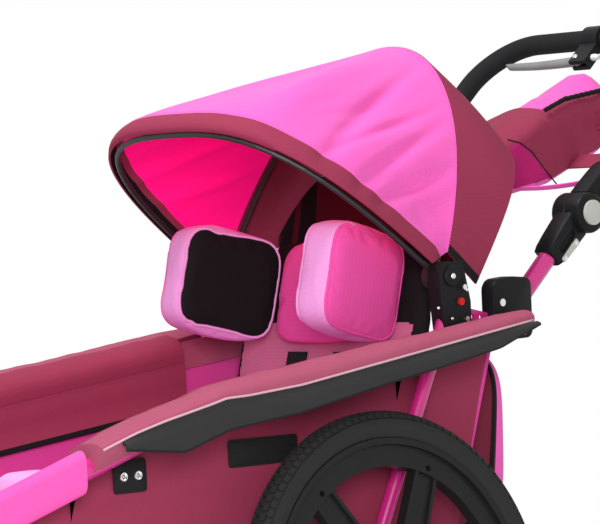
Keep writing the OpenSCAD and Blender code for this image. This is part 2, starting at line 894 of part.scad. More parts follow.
// A pad's section round its rail: across and up from the rail's middle, drawn in by a share at its ends
function pad_place(y) = (y - pad_front) / (pad_rear - pad_front);
function pad_high(y) = pad_up * lookup(pad_place(y), pad_rise_shares);
function pad_edge(y) = pad_up * lookup(pad_place(y), pad_low_shares);
function pad_top(y) = concat([[pad_out, pad_edge(y)]],
    [for (q = pad_top_shares) [q[0] * pad_out, mix(pad_edge(y), pad_high(y), q[1])]]);
function pad_flap(y) = concat([for (q = pad_roll_shares) [q[0] * pad_inner, q[1] * pad_high(y)]],
                              [for (q = pad_side_shares) [q[0] * pad_inner, q[1] * pad_inner_drop]]);
function pad_channel(start, end) = [for (k = [0 : channel_steps])
    let (a = mix(start, end, k / channel_steps)) (tube_r + pad_gap) * [cos(a), sin(a)]];
function pad_ring(y, share, section, hole) = let (ring = concat([for (q = section) q * share], hole))
    [for (k = [len(ring) - 1 : -1 : 0]) [rail_x + ring[k][0], y, rail_at(y) + ring[k][1]]];
function pad_draw(y) = let (
        s = pad_place(y),
        end = min(1, min(s, 1 - s) / pad_end_run_share))
    mix(pad_end_share, 1, sin(90 * end));

// Places along a rail, with one at its bend
function rail_places(front, rear, front_count, rear_count) =
    concat([for (k = [0 : front_count]) mix(front, -rail_bend, k / front_count)],
           [for (k = [1 : rear_count]) mix(-rail_bend, rear, k / rear_count)]);

module rail_pad() {
    low = 90 - channel_wrap / 2;
    front_hole = concat([[pad_inner_t - pad_inner, -pad_inner_drop],
                         [pad_inner_t - pad_inner, pad_panel_room - panel_under_rail],
                         [2 * pad_inner_t - pad_inner, 3 * pad_panel_room - panel_under_rail],
                         [-tube_r - pad_gap, -pad_under]], pad_channel(90 + channel_wrap / 2, low));
    skin([for (y = rail_places(pad_front, pad_inner_end, pad_front_rings, pad_rear_rings))
        pad_ring(y, pad_draw(y), concat(pad_top(y), pad_flap(y)), front_hole)]);
    skin([for (k = [0 : pad_rear_rings])
        let (y = mix(pad_inner_end + seat_gap, pad_rear, k / pad_rear_rings))
        pad_ring(y, pad_draw(y), concat(pad_top(y), [[-tube_r, pad_edge_share * pad_high(y)]]),
                 pad_channel(pad_edge_turn, low))]);
}

module left_rail_pad() {
    color("#9c3a60") rail_pad();
}

module right_rail_pad() {
    color("#9c3a60") mirror([1, 0, 0]) rail_pad();
}

// A mud flap hangs from the outer edge of its pad and tapers away at the rear
module mud_flap() {
    low_turn = 90 - channel_wrap / 2;
    channel_end = (tube_r + pad_gap) * [cos(low_turn), sin(low_turn)];
    places = concat(rail_places(pad_front, pad_inner_end, pad_front_rings, pad_rear_rings),
                    [for (k = [1 : pad_rear_rings])
                        mix(pad_inner_end + seat_gap, pad_rear, k / pad_rear_rings)]);
    skin([for (y = places) if (y > flap_front)
        let (s = pad_place(y),
             wave = flap_wave * sin(360 * flap_waves * s),
             edge = pad_draw(y) * pad_edge(y),
             slope = max(0, (pad_edge(y) - channel_end[1]) / (pad_out - channel_end[0])),
             top = rail_at(y) + edge - seat_gap,
             under = top - slope * flap_t,
             low = min(under - flap_t, rail_at(y) - flap_drop * lookup(s, flap_low_shares)),
             x = rail_x + pad_out)
        [[x - flap_t, y, under], [x, y, top], [x + flap_flare + wave, y, low],
         [x + flap_flare + wave - flap_t, y, low]]]);
}

module mud_flaps() {
    color("#48484b") both_sides() mud_flap();
}

module tube_sleeve() {
    half = tube_r + sleeve_wall;
    p = [rail_x, -sleeve_start, rail_at(-sleeve_start)];
    q = [rail_x, -sleeve_end, rail_at(-sleeve_end)];
    along(p, q) linear_extrude(height = norm(q - p)) difference() {
        union() {
            translate([-sleeve_h / 2 + half, 0]) circle(r = half);
            translate([sleeve_h / 2 - half, 0]) circle(r = half);
            square([sleeve_h - 2 * half, 2 * half], center = true);
        }
        circle(r = tube_r + seat_gap);
    }
}

module tube_sleeves() {
    color("#f04aa8") both_sides() tube_sleeve();
}

module side_patches() {
    color("#151516") both_sides() {
        translate([tub_x + seat_gap, tab_at[0], tab_at[1]]) cube(tab_size);
        translate([tub_x + seat_gap, patch_at[0], patch_at[1]]) cube(patch_size);
    }
}

module snap_studs() {
    x = tub_x + seat_gap + tab_size[0];
    color("#d6d4cc") both_sides() for (s = stud_shares)
        difference() {
            cross_pin(x, x + stud_t, [tab_at[0] + s * tab_size[1], tab_at[1] + tab_size[2] / 2], stud_r);
            cross_pin(x + stud_t / 2, x + stud_t + overrun,
                      [tab_at[0] + s * tab_size[1], tab_at[1] + tab_size[2] / 2], stud_hole_r);
        }
}

module seat_cushion() {
    color("#f06ab8") translate([0, (seat_rear + seat_front) / 2, shelf_z + seat_t / 2 + seat_gap])
        padding(seat_w, seat_rear - seat_front, seat_t);
}

module pommel() {
    z = shelf_z + seat_t + 2 * seat_gap;
    color("#f48ac8") translate([0, pommel_y, z + pommel_size[2] / 2])
        padding(pommel_size[0], pommel_size[1], pommel_size[2]);
}

// A bag behind the tub: its front lies along the sloping rear wall and its back hangs straight
function rear_wall_at(z) = mix(rear_wall_foot[0], rear_wall_top[0],
                               (z - rear_wall_foot[1]) / (rear_wall_top[1] - rear_wall_foot[1]));
module rear_bag() {
    wall = floor_t / cos(atan2(rear_wall_top[0] - rear_wall_foot[0], rear_wall_top[1] - rear_wall_foot[1]));
    color("#7d2448") skin([for (k = [len(pad_layer_shares) - 1 : -1 : 0])
        let (layer = pad_layer_shares[k])
        [for (i = [0 : pad_points - 1])
            let (a = 360 * i / pad_points,
                 z = (bag_high + bag_low) / 2 + (bag_high - bag_low) / 2 * layer[1] * signed_power(sin(a), 2 / pad_power))
            [bag_w / 2 * layer[1] * signed_power(cos(a), 2 / pad_power),
             mix(rear_wall_at(z) + wall + seat_gap, bag_rear, layer[0] + 1 / 2), z]]]);
}

// Backrest and headrest

// The backrest's own frame: Z up along the back, Y towards the rear
module on_back() {
    translate([0, back_pivot[0], back_pivot[1]]) rotate([-back_lean, 0, 0]) children();
}

module backrest() {
    color("#8a2a52") on_back() {
        translate([0, 0, back_foot + back_h / 2]) rotate([90, 0, 0]) padding(back_w, back_h, back_t);
        cross_pin(-tub_in, tub_in, [0, 0], back_rod_r);
    }
}

module headrest_pad() {
    color("#f03aa8") on_back() translate([0, -(back_t + head_pad_t) / 2 - seat_gap, head_low + head_pad_h / 2])
        rotate([90, 0, 0]) padding(wing_gap - 2 * seat_gap, head_pad_h, head_pad_t);
}

module head_wing() {
    reach = wing_d / 2 * cos(wing_flare) + wing_flat_share * wing_t * sin(wing_flare);
    on_back() translate([(wing_gap + wing_t + wing_d * sin(wing_flare)) / 2, -back_t / 2 - seat_gap - reach,
                         head_low + wing_h / 2])
        rotate([0, 0, wing_flare]) rotate([90, 0, 90]) padding(wing_d, wing_h, wing_t);
}

module left_head_wing() {
    color("#f03aa8") head_wing();
}

module right_head_wing() {
    color("#f03aa8") mirror([1, 0, 0]) head_wing();
}

module harness_straps() {
    color("#19191a") on_back() both_sides()
        translate([belt_x - belt_w / 2, -back_t / 2 - seat_gap - belt_t, belt_low])
            cube([belt_w, belt_t, belt_high - belt_low]);
}

module harness_buckle() {
    color("#e4e4e2") on_back()
        translate([-buckle_size[0] / 2, -back_t / 2 - 2 * seat_gap - belt_t - buckle_size[1], belt_low])
            cube(buckle_size);
}

// Hood

function arch_start(rise, reach, power) = asin(pow(rise / reach, power / 2));
function arch_point(half, reach, power, angle, rise, s, base = [0, 0]) = let (
        low = arch_start(rise, reach, power),
        t = low + (180 - 2 * low) * s,
        r = reach * pow(sin(t), 2 / power))
    [half * signed_power(cos(t), 2 / power), hood_y + base[0] + r * cos(angle), hood_z + base[1] + r * sin(angle)];

function front_edge(s, inset) =
    arch_point(front_half - inset, front_reach - inset, front_power, front_bow_angle, hem_rise, s);
function main_edge(s, inset) =
    arch_point(main_half - inset, main_reach - inset, main_power, main_bow_angle, hem_rise, s);
function rear_edge(s, inset) =
    arch_point(rear_half - inset, rear_reach - inset, rear_power, rear_hem_angle, rear_rise, s, rear_base);

// Direction straight out from the hood's pivot line, in the side view
function pivot_out(p) = unit([0, p[1] - hood_y, p[2] - hood_z]);

// Front panel point: up over a turned-down rim, back to the main bow, drawn in by soft folds
function front_cloth(s, v, inset) = let (
        p = mix(front_edge(s, inset), main_edge(s, inset), v),
        rise = rim_rise * (1 - v) * (1 - exp(-v / rim_turn_share)) * pow(sin(180 * s), rim_spread_power),
        ripple = fold_depth * sin(180 * v) * (1 - cos(360 * fold_count * s)) / 2)
    p + (rise - ripple) * pivot_out(p);

// Rear panel point: swelling out between the main bow and the rear hem
function rear_cloth(s, v, inset) = let (
        p = mix(main_edge(s, inset), rear_edge(s, inset), v))
    p + rear_bulge * sin(180 * v) * pow(sin(180 * s), rear_bulge_power) * pivot_out(p);

module hood_front_panel() {
    cols = [for (j = [0 : hood_steps]) (1 - seam_gap_share) * pow(j / hood_steps, rim_crowd_power)];
    color("#f542ae")
        sheet([for (i = [0 : arch_steps]) [for (v = cols) front_cloth(i / arch_steps, v, 0)]],
              [for (i = [0 : arch_steps]) [for (v = cols) front_cloth(i / arch_steps, v, hood_t)]]);
}

module hood_rear_panel() {
    cols = [for (j = [0 : hood_steps]) seam_gap_share + (1 - seam_gap_share) * j / hood_steps];
    color("#8a2a52")
        sheet([for (i = [0 : arch_steps]) [for (v = cols) rear_cloth(i / arch_steps, v, 0)]],
              [for (i = [0 : arch_steps]) [for (v = cols) rear_cloth(i / arch_steps, v, hood_t)]]);
}

// A bow: a bent tube on an arch, with a pivot disc at each end
module bow(x, reach, power, angle) {
    difference() {
        union() {
            swept_tube([for (i = [0 : arch_steps])
                arch_point(x, reach - bow_inset, power, angle, disc_r / 2 + bow_r, i / arch_steps)],
                [0, -sin(angle), cos(angle)], bow_r, bow_sides);
            both_sides() cross_pin(x - disc_t / 2, x + disc_t / 2, [hood_y, hood_z], disc_r);
        }
        both_sides() cross_pin(x - disc_t, x + disc_t, [hood_y, hood_z], hood_pin_r + fit);
    }
}

module main_bow() {
    color("#303033") bow(main_bow_x, main_reach, main_power, main_bow_angle);
}

module front_bow() {
    color("#303033") bow(front_bow_x, front_reach, front_power, front_bow_angle);
}

// Push bar

// The handle's own frame at a hinge: X across, Y along the push bar, Z off its plane
module on_push() {
    translate([0, hinge_at[0], hinge_at[1]]) rotate([push_angle, 0, 0]) children();
}

module push_tubes() {
    foot = [push_x, fold_y, fold_z];
    top = foot + (push_len - arm_socket) * [0, push_dir[0], push_dir[1]];
    color("#e0248f") both_sides() difference() {
        union() {
            rod(foot, top, tube_r);
            cross_pin(push_x - tube_r, push_x + tube_r, fold_at, fold_boss_r);
        }
        cross_pin(push_x - tube_r - overrun, push_x + tube_r + overrun, fold_at, fold_pin_r + fit);
    }
}

// Half of an angle hinge: a hub half on one side of the split and an arm along +Y that holds a tube
module hinge_half_form(side, socket_r) {
    inner = hinge_split / 2;
    difference() {
        union() {
            translate([side > 0 ? inner : -hinge_half, 0, 0]) rotate([0, 90, 0])
                cylinder(h = hinge_half - inner, r = hinge_r);
            translate([-arm_half, arm_start, -arm_h / 2]) cube([2 * arm_half, arm_len - arm_start, arm_h]);
        }
        translate([side > 0 ? -hinge_half - overrun : -inner, 0, 0]) rotate([0, 90, 0])
            cylinder(h = hinge_half + inner + overrun, r = hinge_r + hinge_split);
        translate([0, arm_socket, 0]) rotate([-90, 0, 0]) cylinder(h = arm_len, r = socket_r + fit);
    }
}

module hinge_bases() {
    color("#1e1e20") both_sides() on_push() translate([push_x, 0, 0]) difference() {
        mirror([0, 1, 0]) hinge_half_form(1, tube_r);
        rotate([0, 90, 0]) cylinder(h = hinge_half, r = hinge_pin_r + fit);
        translate([hinge_half - hinge_pocket, 0, 0]) rotate([0, 90, 0])
            cylinder(h = hinge_pocket + overrun, r = button_r + fit);
    }
}

module hinge_caps() {
    color("#1e1e20") both_sides() on_push() translate([push_x, 0, 0]) {
        hinge_half_form(-1, handle_r);
        translate([-hinge_half / 2, 0, 0]) rotate([0, 90, 0])
            cylinder(h = hinge_half / 2 + hinge_half - hinge_pocket - seat_gap, r = hinge_pin_r);
    }
}

module hinge_button() {
    on_push() translate([push_x + hinge_half + button_proud - button_len, 0, 0]) rotate([0, 90, 0])
        cylinder(h = button_len, r = button_r);
}

module left_hinge_button() {
    color("#cfcfc8") hinge_button();
}

module right_hinge_button() {
    color("#cfcfc8") mirror([1, 0, 0]) hinge_button();
}

module handle_path(start, r) {
    bent_tube([[push_x, start, 0], [push_x, handle_len, 0], [-push_x, handle_len, 0], [-push_x, start, 0]],
              r, handle_bend);
}

module handle_tube() {
    color("#2b2b2d") on_push() handle_path(arm_socket, handle_r);
}

module handle_grip() {
    color("#242425") on_push() difference() {
        handle_path(grip_start, grip_r);
        handle_path(grip_start - overrun, handle_r + fit);
    }
}

module brake_clamp() {
    color("#1a1a1b") on_push() translate([0, handle_len, 0]) {
        difference() {
            union() {
                rotate([0, 90, 0]) cylinder(h = 2 * clamp_half, r = clamp_r, center = true);
                translate([-clamp_half, -clamp_reach, -clamp_arm_w / 2])
                    cube([2 * clamp_half, clamp_reach, clamp_arm_w]);
            }
            rotate([0, 90, 0]) cylinder(h = 2 * clamp_half + 2 * overrun, r = grip_r + fit, center = true);
            translate([-clamp_half - overrun, -clamp_reach - overrun, -lever_slot / 2])
                cube([2 * clamp_half, clamp_reach - grip_r - lever_slot, lever_slot]);
        }
        translate([lever_x, -lever_drop, 0]) cylinder(h = clamp_arm_w, r = lever_pin_r, center = true);
    }
}

module brake_lever() {
    color("#b4b6b8") on_push() translate([lever_x, handle_len - lever_drop, -lever_t / 2])
        difference() {
            union() {
                cylinder(h = lever_t, r = lever_eye_r);
                linear_extrude(height = lever_t)
                    polygon([[0, lever_w / 2], [0, -lever_w / 2], [-lever_len, -lever_tip_w / 2],
                             [-lever_len, lever_tip_w / 2]]);
                translate([-lever_len, 0, 0]) cylinder(h = lever_t, r = lever_tip_w / 2 + weld);
            }
            translate([0, 0, -overrun]) cylinder(h = lever_t + 2 * overrun, r = lever_pin_r + fit);
        }
}

module brake_cable() {
    color("#e8e8e6") on_push() translate([0, handle_len, 0]) swept_tube(cable_route, [0, 0, 1], cable_r, cable_sides);
}

module organiser_bag() {
    color("#86284f") on_push() {
        translate([0, pouch_at[0], pouch_at[1]]) rotate([-pouch_tilt, 0, 0]) padding(pouch_w, pouch_len, pouch_t);
        for (y = pouch_strap_at)
            translate([-push_x, y - pouch_strap_w / 2, -handle_r - seat_gap - pouch_strap_t])
                cube([2 * push_x, pouch_strap_w, pouch_strap_t]);
        both_sides() along(tie_start, tie_end) translate([-tie_t / 2, -tie_w / 2, 0])
            cube([tie_t, tie_w, norm(tie_end - tie_start)]);
    }
}

placed() left_rail();
placed() right_rail();
placed() nose_tube();
placed() lower_tubes();
placed() rear_uprights();
placed() axle_beam();
placed() head_tube();
placed() hood_brackets();
placed() hood_gussets();
placed() fold_blocks();
placed() left_rail_pad();
placed() right_rail_pad();
placed() mud_flaps();
placed() tube_sleeves();
placed() left_side_panel();
placed() right_side_panel();
placed() tub_floor();
placed() rear_bag();
placed() side_patches();
placed() snap_studs();
placed() seat_cushion();
placed() pommel();
placed() footplate();
placed() frame_screws();
placed() wheel_axles();
placed() backrest();
placed() headrest_pad();
placed() left_head_wing();
placed() right_head_wing();
placed() harness_straps();
placed() harness_buckle();
placed() left_tyre();
placed() left_rim();
placed() left_bearings();
placed() right_tyre();
placed() right_rim();
placed() right_bearings();
placed() front_fork();
placed() front_axle();
placed() front_tyre();
placed() front_rim();
placed() front_bearings();
placed() push_tubes();
placed() hinge_bases();
placed() handle_tube();
placed() hinge_caps();
placed() handle_grip();
placed() brake_clamp();
placed() organiser_bag();
placed() brake_cable();
placed() brake_lever();
placed() left_hinge_button();
placed() right_hinge_button();
placed() main_bow();
placed() front_bow();
placed() hood_front_panel();
placed() hood_rear_panel();
placed() left_hood_button();
placed() right_hood_button();
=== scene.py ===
"""Special needs buggy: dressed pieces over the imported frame, camera, light and stage."""

import logging
import math
from dataclasses import dataclass
from enum import Enum
from typing import Callable, Optional, Sequence

import bmesh
import bpy
from mathutils import Matrix, Vector, noise
from mathutils.bvhtree import BVHTree


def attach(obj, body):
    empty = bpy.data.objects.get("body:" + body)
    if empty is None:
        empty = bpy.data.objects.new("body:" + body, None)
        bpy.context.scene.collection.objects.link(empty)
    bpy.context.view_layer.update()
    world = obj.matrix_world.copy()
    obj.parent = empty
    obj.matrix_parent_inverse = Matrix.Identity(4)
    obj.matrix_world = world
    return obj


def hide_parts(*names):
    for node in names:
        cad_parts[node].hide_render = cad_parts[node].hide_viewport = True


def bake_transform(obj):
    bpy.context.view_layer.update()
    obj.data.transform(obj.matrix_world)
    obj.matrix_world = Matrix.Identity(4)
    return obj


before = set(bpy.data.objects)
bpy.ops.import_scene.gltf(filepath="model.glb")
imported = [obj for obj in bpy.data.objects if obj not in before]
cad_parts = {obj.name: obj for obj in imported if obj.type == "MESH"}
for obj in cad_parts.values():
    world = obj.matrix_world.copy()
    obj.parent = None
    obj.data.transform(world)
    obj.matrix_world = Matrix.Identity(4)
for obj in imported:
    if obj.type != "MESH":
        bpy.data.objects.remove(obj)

LOG = logging.getLogger("buggy")
MM = 0.001

# Places in millimetres; the rear axle's middle is the zero point along the buggy
AXLE_SHIFT = 77.872
HOOD_PIVOT = (174.0, 645.0)
RAIL_HEIGHT = 540.0
RAIL_BEND = -250.0
RAIL_SLOPE = math.tan(math.radians(7))
NOSE_SLOPE = math.tan(math.radians(18))

Points = list[Vector]
Shell = tuple[Points, list]
Surface = Callable[[float, float, float], Vector]
Pick = Callable[[Vector, Vector], int]


class Unit(Enum):
    """Shape that a repeated detail is made of."""

    BLOCK = "block"
    DISC = "disc"


class Side(Enum):
    """Side of the buggy, as the sign of its X."""

    LEFT = 1
    RIGHT = -1

    @property
    def word(self) -> str:
        """Returns: the side's name in node names."""
        return "left" if self is Side.LEFT else "right"


# Finishes


class Nodes:
    """Small helper that adds shader nodes and links them."""

    def __init__(self, material: bpy.types.Material) -> None:
        """Args: material: the material whose tree is filled."""
        material.use_nodes = True
        self.tree = material.node_tree
        self.shader = self.tree.nodes["Principled BSDF"]
        self.coord = self.tree.nodes.new("ShaderNodeTexCoord").outputs["Object"]

    def add(self, kind: str, out: int = 0, settings: Optional[dict] = None, **inputs):
        """Adds a node.

        Args: kind: node type; out: output index; settings: properties; inputs: by socket name.
        Returns: the chosen output socket.
        """
        node = self.tree.nodes.new(kind)
        for key, value in (settings or {}).items():
            setattr(node, key, value)
        for key, value in inputs.items():
            socket = node.inputs[int(key[1:])] if key[0] == "_" else node.inputs[key.replace("_", " ")]
            self.feed(socket, value)
        return node.outputs[out]

    def feed(self, socket, value) -> None:
        """Links or sets a socket. Args: socket: input socket; value: an output socket or a constant."""
        if isinstance(value, bpy.types.NodeSocket):
            self.tree.links.new(value, socket)
        else:
            socket.default_value = value

    def set(self, **inputs) -> None:
        """Sets the main shader's sockets. Args: inputs: by socket name."""
        for key, value in inputs.items():
            self.feed(self.shader.inputs[key.replace("_", " ")], value)

    def calc(self, operation: str, *values):
        """Args: operation: of a math node; values: sockets or numbers. Returns: the result's socket."""
        fed = {f"_{k}": value for k, value in enumerate(values)}
        return self.add("ShaderNodeMath", 0, {"operation": operation}, **fed)

    def speckle(self, scale: float, detail: float):
        """Args: scale, detail: of a noise. Returns: its socket."""
        return self.add("ShaderNodeTexNoise", 0, Vector=self.coord, Scale=scale, Detail=detail)

    def bump(self, height, strength: float, distance: float, **more):
        """Args: height: socket; strength, distance: of a bump; more: sockets. Returns: the normal."""
        return self.add("ShaderNodeBump", 0, Height=height, Strength=strength, Distance=distance, **more)

    def tones(self, factor, colour: Sequence[float], low: float, high: float):
        """Args: factor: socket; colour; low, high: shares of its brightness. Returns: colour socket."""
        dark, light = ([min(1.0, c * share) for c in colour] for share in (low, high))
        return self.add("ShaderNodeMix", 2, {"data_type": "RGBA"}, _0=factor, _6=(*dark, 1), _7=(*light, 1))


@dataclass(frozen=True)
class Finish:
    """A surface: its name, its colour and the slot it belongs to."""

    name: str
    colour: tuple
    slot: str
    rough: float = 0.5

    def material(self) -> bpy.types.Material:
        """Returns: the finish's material, made once, apart from the frame's own materials."""
        name = f"{self.name}_finish"
        found = bpy.data.materials.get(name)
        if found is None:
            found = bpy.data.materials.new(name)
            self.fill(Nodes(found))
        return found

    def fill(self, nodes: Nodes) -> None:
        """Args: nodes: helper on the new material."""
        nodes.set(Base_Color=(*self.colour, 1), Roughness=self.rough)


@dataclass(frozen=True)
class Cloth(Finish):
    """Woven cloth with threads, slubs and shallow creases; its glow is painted light, an emission that
    stands in for light coming through it.
    """

    rough: float = 0.82
    thread: float = 0.0012
    crease: float = 0.004
    sheen: float = 0.0
    glow: float = 0.0
    slub_scale: float = 420.0
    crease_scale: float = 11.0

    def fill(self, nodes: Nodes) -> None:
        """Args: nodes: helper on the new material."""
        scale = 2 * math.pi / (20 * self.thread)
        waves = [nodes.add("ShaderNodeTexWave", 1, {"bands_direction": axis}, Vector=nodes.coord,
                           Scale=scale, Distortion=0.6, Detail=1.0) for axis in "XYZ"]
        weave = nodes.calc("ADD", nodes.calc("ADD", waves[0], waves[1]), waves[2])
        weave = nodes.calc("MULTIPLY", weave, 1 / 3)
        mixed = nodes.calc("MULTIPLY", nodes.speckle(self.slub_scale, 2.0), 0.55)
        mixed = nodes.calc("MULTIPLY_ADD", weave, 0.45, mixed)
        fold = nodes.bump(nodes.speckle(self.crease_scale, 3.0), 0.5, self.crease)
        nodes.set(Base_Color=nodes.tones(mixed, self.colour, 0.84, 1.14), Roughness=self.rough,
                  Sheen_Weight=self.sheen, Normal=nodes.bump(weave, 0.3, 0.0004, Normal=fold),
                  Specular_IOR_Level=0.2, Emission_Color=(*self.colour, 1), Emission_Strength=self.glow)


@dataclass(frozen=True)
class Paint(Finish):
    """Glossy powder coat on metal tube."""

    rough: float = 0.28
    coat: float = 0.5
    peel_scale: float = 900.0
    cloud_scale: float = 18.0

    def fill(self, nodes: Nodes) -> None:
        """Args: nodes: helper on the new material."""
        colour = nodes.tones(nodes.speckle(self.cloud_scale, 2.0), self.colour, 0.92, 1.06)
        normal = nodes.bump(nodes.speckle(self.peel_scale, 1.0), 0.06, 0.0003)
        nodes.set(Base_Color=colour, Roughness=self.rough, Coat_Weight=self.coat, Coat_Roughness=0.12,
                  Normal=normal)


@dataclass(frozen=True)
class Moulding(Finish):
    """Moulded plastic, rubber or foam with a fine grain."""

    rough: float = 0.45
    grain: float = 900.0
    depth: float = 0.00025
    shine: float = 0.35
    wear_scale: float = 25.0

    def fill(self, nodes: Nodes) -> None:
        """Args: nodes: helper on the new material."""
        wear = nodes.speckle(self.wear_scale, 3.0)
        rough = nodes.calc("MULTIPLY_ADD", wear, 0.16, self.rough - 0.08)
        normal = nodes.bump(nodes.speckle(self.grain, 2.0), 0.3, self.depth)
        nodes.set(Base_Color=nodes.tones(wear, self.colour, 0.8, 1.2), Roughness=rough, Normal=normal,
                  Specular_IOR_Level=self.shine, IOR=1.25)


@dataclass(frozen=True)
class Metal(Finish):
    """Bright metal with a faint brushing."""

    rough: float = 0.28
    brush_scale: float = 260.0

    def fill(self, nodes: Nodes) -> None:
        """Args: nodes: helper on the new material."""
        rough = nodes.calc("MULTIPLY_ADD", nodes.speckle(self.brush_scale, 3.0), 0.2, self.rough - 0.1)
        nodes.set(Base_Color=(*self.colour, 1), Metallic=1.0, Roughness=rough)


PINK = Cloth("pink_cloth", (0.9, 0.12, 0.5), "pink_fabric", sheen=0.12)
HOT_PINK = Cloth("hot_pink_cloth", (0.95, 0.1, 0.43), "pink_fabric")
LIGHT_PINK = Cloth("light_pink_cloth", (0.93, 0.38, 0.78), "light_pink_fabric")
# Painted light: the lining glows (emission 0.4) to stand in for light coming through the hood's cloth.
LINING = Cloth("lining_cloth", (0.96, 0.004, 0.21), "pink_fabric", glow=0.4)
TUB_LINING = Cloth("tub_lining_cloth", (0.7, 0.06, 0.32), "pink_fabric")
BURGUNDY = Cloth("burgundy_cloth", (0.29, 0.032, 0.076), "burgundy_fabric")
DARK_BURGUNDY = Cloth("dark_burgundy_cloth", (0.16, 0.014, 0.036), "burgundy_fabric")
# Painted shade: a near-black copy of the burgundy cloth, for the shadow inside the hood behind the headrest.
PAINTED_SHADE_BURGUNDY = Cloth("painted_shade_burgundy_cloth", (0.07, 0.006, 0.013), "burgundy_fabric")
DUSTY = Cloth("dusty_burgundy_cloth", (0.38, 0.078, 0.14), "burgundy_fabric")
# Painted light: a brighter copy of the dusty cloth for the backrest, lightened to make up for the shadow it
# sits in.
LIT_SEAT_DUSTY = Cloth("lit_seat_dusty_cloth", (0.6, 0.16, 0.3), "burgundy_fabric")
BLACK_CLOTH = Cloth("black_cloth", (0.006, 0.005, 0.006), "black_webbing")
WEBBING = Cloth("black_webbing_cloth", (0.012, 0.012, 0.013), "black_webbing", thread=0.0022, crease=0.001)
GREY_COAT = Cloth("grey_coated_cloth", (0.022, 0.022, 0.023), "grey_coated_fabric", rough=0.5)
PALE_PIPING = Cloth("pale_piping_cloth", (0.6, 0.36, 0.42), "burgundy_fabric", crease=0.001)
SIDE_PINK = Cloth("side_pink_cloth", (0.48, 0.014, 0.15), "pink_fabric")
PINK_PAINT = Paint("pink_paint", (0.58, 0.018, 0.21), "pink_paint", coat=0.3)
BLACK_PAINT = Paint("black_paint", (0.012, 0.012, 0.013), "black_paint", rough=0.5, coat=0.0)
PLASTIC = Moulding("black_plastic", (0.009, 0.009, 0.01), "black_plastic", rough=0.42)
WHEEL_PLASTIC = Moulding("wheel_plastic", (0.014, 0.014, 0.015), "black_plastic", rough=0.38)
RUBBER = Moulding("tyre_rubber", (0.024, 0.024, 0.024), "tyre_rubber", rough=0.75, grain=500.0)
FOAM = Moulding("grip_foam", (0.018, 0.018, 0.019), "grip_foam", rough=0.85, grain=650.0, depth=0.0006)
STEEL = Metal("bright_steel", (0.74, 0.73, 0.7), "bright_steel")
ALLOY = Moulding("lever_alloy", (0.24, 0.24, 0.25), "lever_alloy", rough=0.35, shine=0.5)
WHITE = Moulding("white_plastic", (0.75, 0.75, 0.74), "white_plastic", rough=0.4, shine=0.5)
GREY = Moulding("grey_plastic", (0.5, 0.5, 0.46), "grey_plastic", rough=0.38, shine=0.5)
RED = Moulding("red_plastic", (0.62, 0.018, 0.018), "red_plastic", rough=0.35, shine=0.5)


# Mesh tools


def row(point: Sequence[float]) -> Vector:
    """Args: point: millimetres from the rear axle's middle. Returns: the point in the frame, in metres."""
    return Vector((point[0], point[1] + AXLE_SHIFT, point[2])) * MM


def unrow(point: Vector) -> Vector:
    """Args: point: a point in the frame. Returns: millimetres from the rear axle's middle."""
    return Vector((point[0] / MM, point[1] / MM - AXLE_SHIFT, point[2] / MM))


def mix(a, b, share: float):
    """Args: a, b: numbers or vectors; share: 0 to 1. Returns: the value between them."""
    return a + (b - a) * share


def steps(a: float, b: float, count: int) -> list[float]:
    """Args: a, b: ends; count: steps. Returns: even values from one end to the other."""
    return [mix(a, b, k / count) for k in range(count + 1)]


def circle(count: int) -> list[float]:
    """Args: count: steps. Returns: the angles of one round."""
    return [2 * math.pi * k / count for k in range(count)]


def signed_power(value: float, power: float) -> float:
    """Args: value, power: numbers. Returns: the power with the value's sign."""
    return math.copysign(abs(value) ** power, value)


def flipped(p: Vector) -> Vector:
    """Args: p: a point. Returns: the same point on the other side of the buggy."""
    return Vector((-p[0], p[1], p[2]))


def turned(degrees: float, axis: str) -> Matrix:
    """Args: degrees: turn; axis: X, Y or Z. Returns: the turn's matrix."""
    return Matrix.Rotation(math.radians(degrees), 4, axis)


def on_frame(origin: Sequence[float], turn: float) -> Matrix:
    """Args: origin: millimetres; turn: degrees about X. Returns: the frame's matrix."""
    return Matrix.Translation(Vector(origin)) @ turned(turn, "X")


def across_at(x: float, y: float, z: float) -> Matrix:
    """Args: x, y, z: millimetres. Returns: a frame there whose Z runs across the buggy."""
    return Matrix.Translation((x, y, z)) @ turned(90, "Y")


def link(name: str, mesh: bpy.types.Mesh) -> bpy.types.Object:
    """Args: name: piece name; mesh: its mesh. Returns: the linked object."""
    obj = bpy.data.objects.new(name, mesh)
    bpy.context.scene.collection.objects.link(obj)
    return obj


def smooth(obj: bpy.types.Object, pick: Optional[Pick], sharp: float) -> None:
    """Args: obj: piece; pick: finish index by face place and normal; sharp: degrees of an edge left hard."""
    mesh = obj.data
    mesh.polygons.foreach_set("use_smooth", [True] * len(mesh.polygons))
    if pick:
        for face in mesh.polygons:
            face.material_index = pick(unrow(face.center), face.normal)
    if sharp:
        mesh.set_sharp_from_angle(angle=math.radians(sharp))


def dress_faces(obj: bpy.types.Object, finishes: Sequence[Finish], pick: Optional[Pick],
                sharp: float) -> None:
    """Args: obj: remade piece; finishes: in index order; pick, sharp: see smooth."""
    obj.data.materials.clear()
    for finish in finishes:
        obj.data.materials.append(finish.material())
    smooth(obj, pick, sharp)


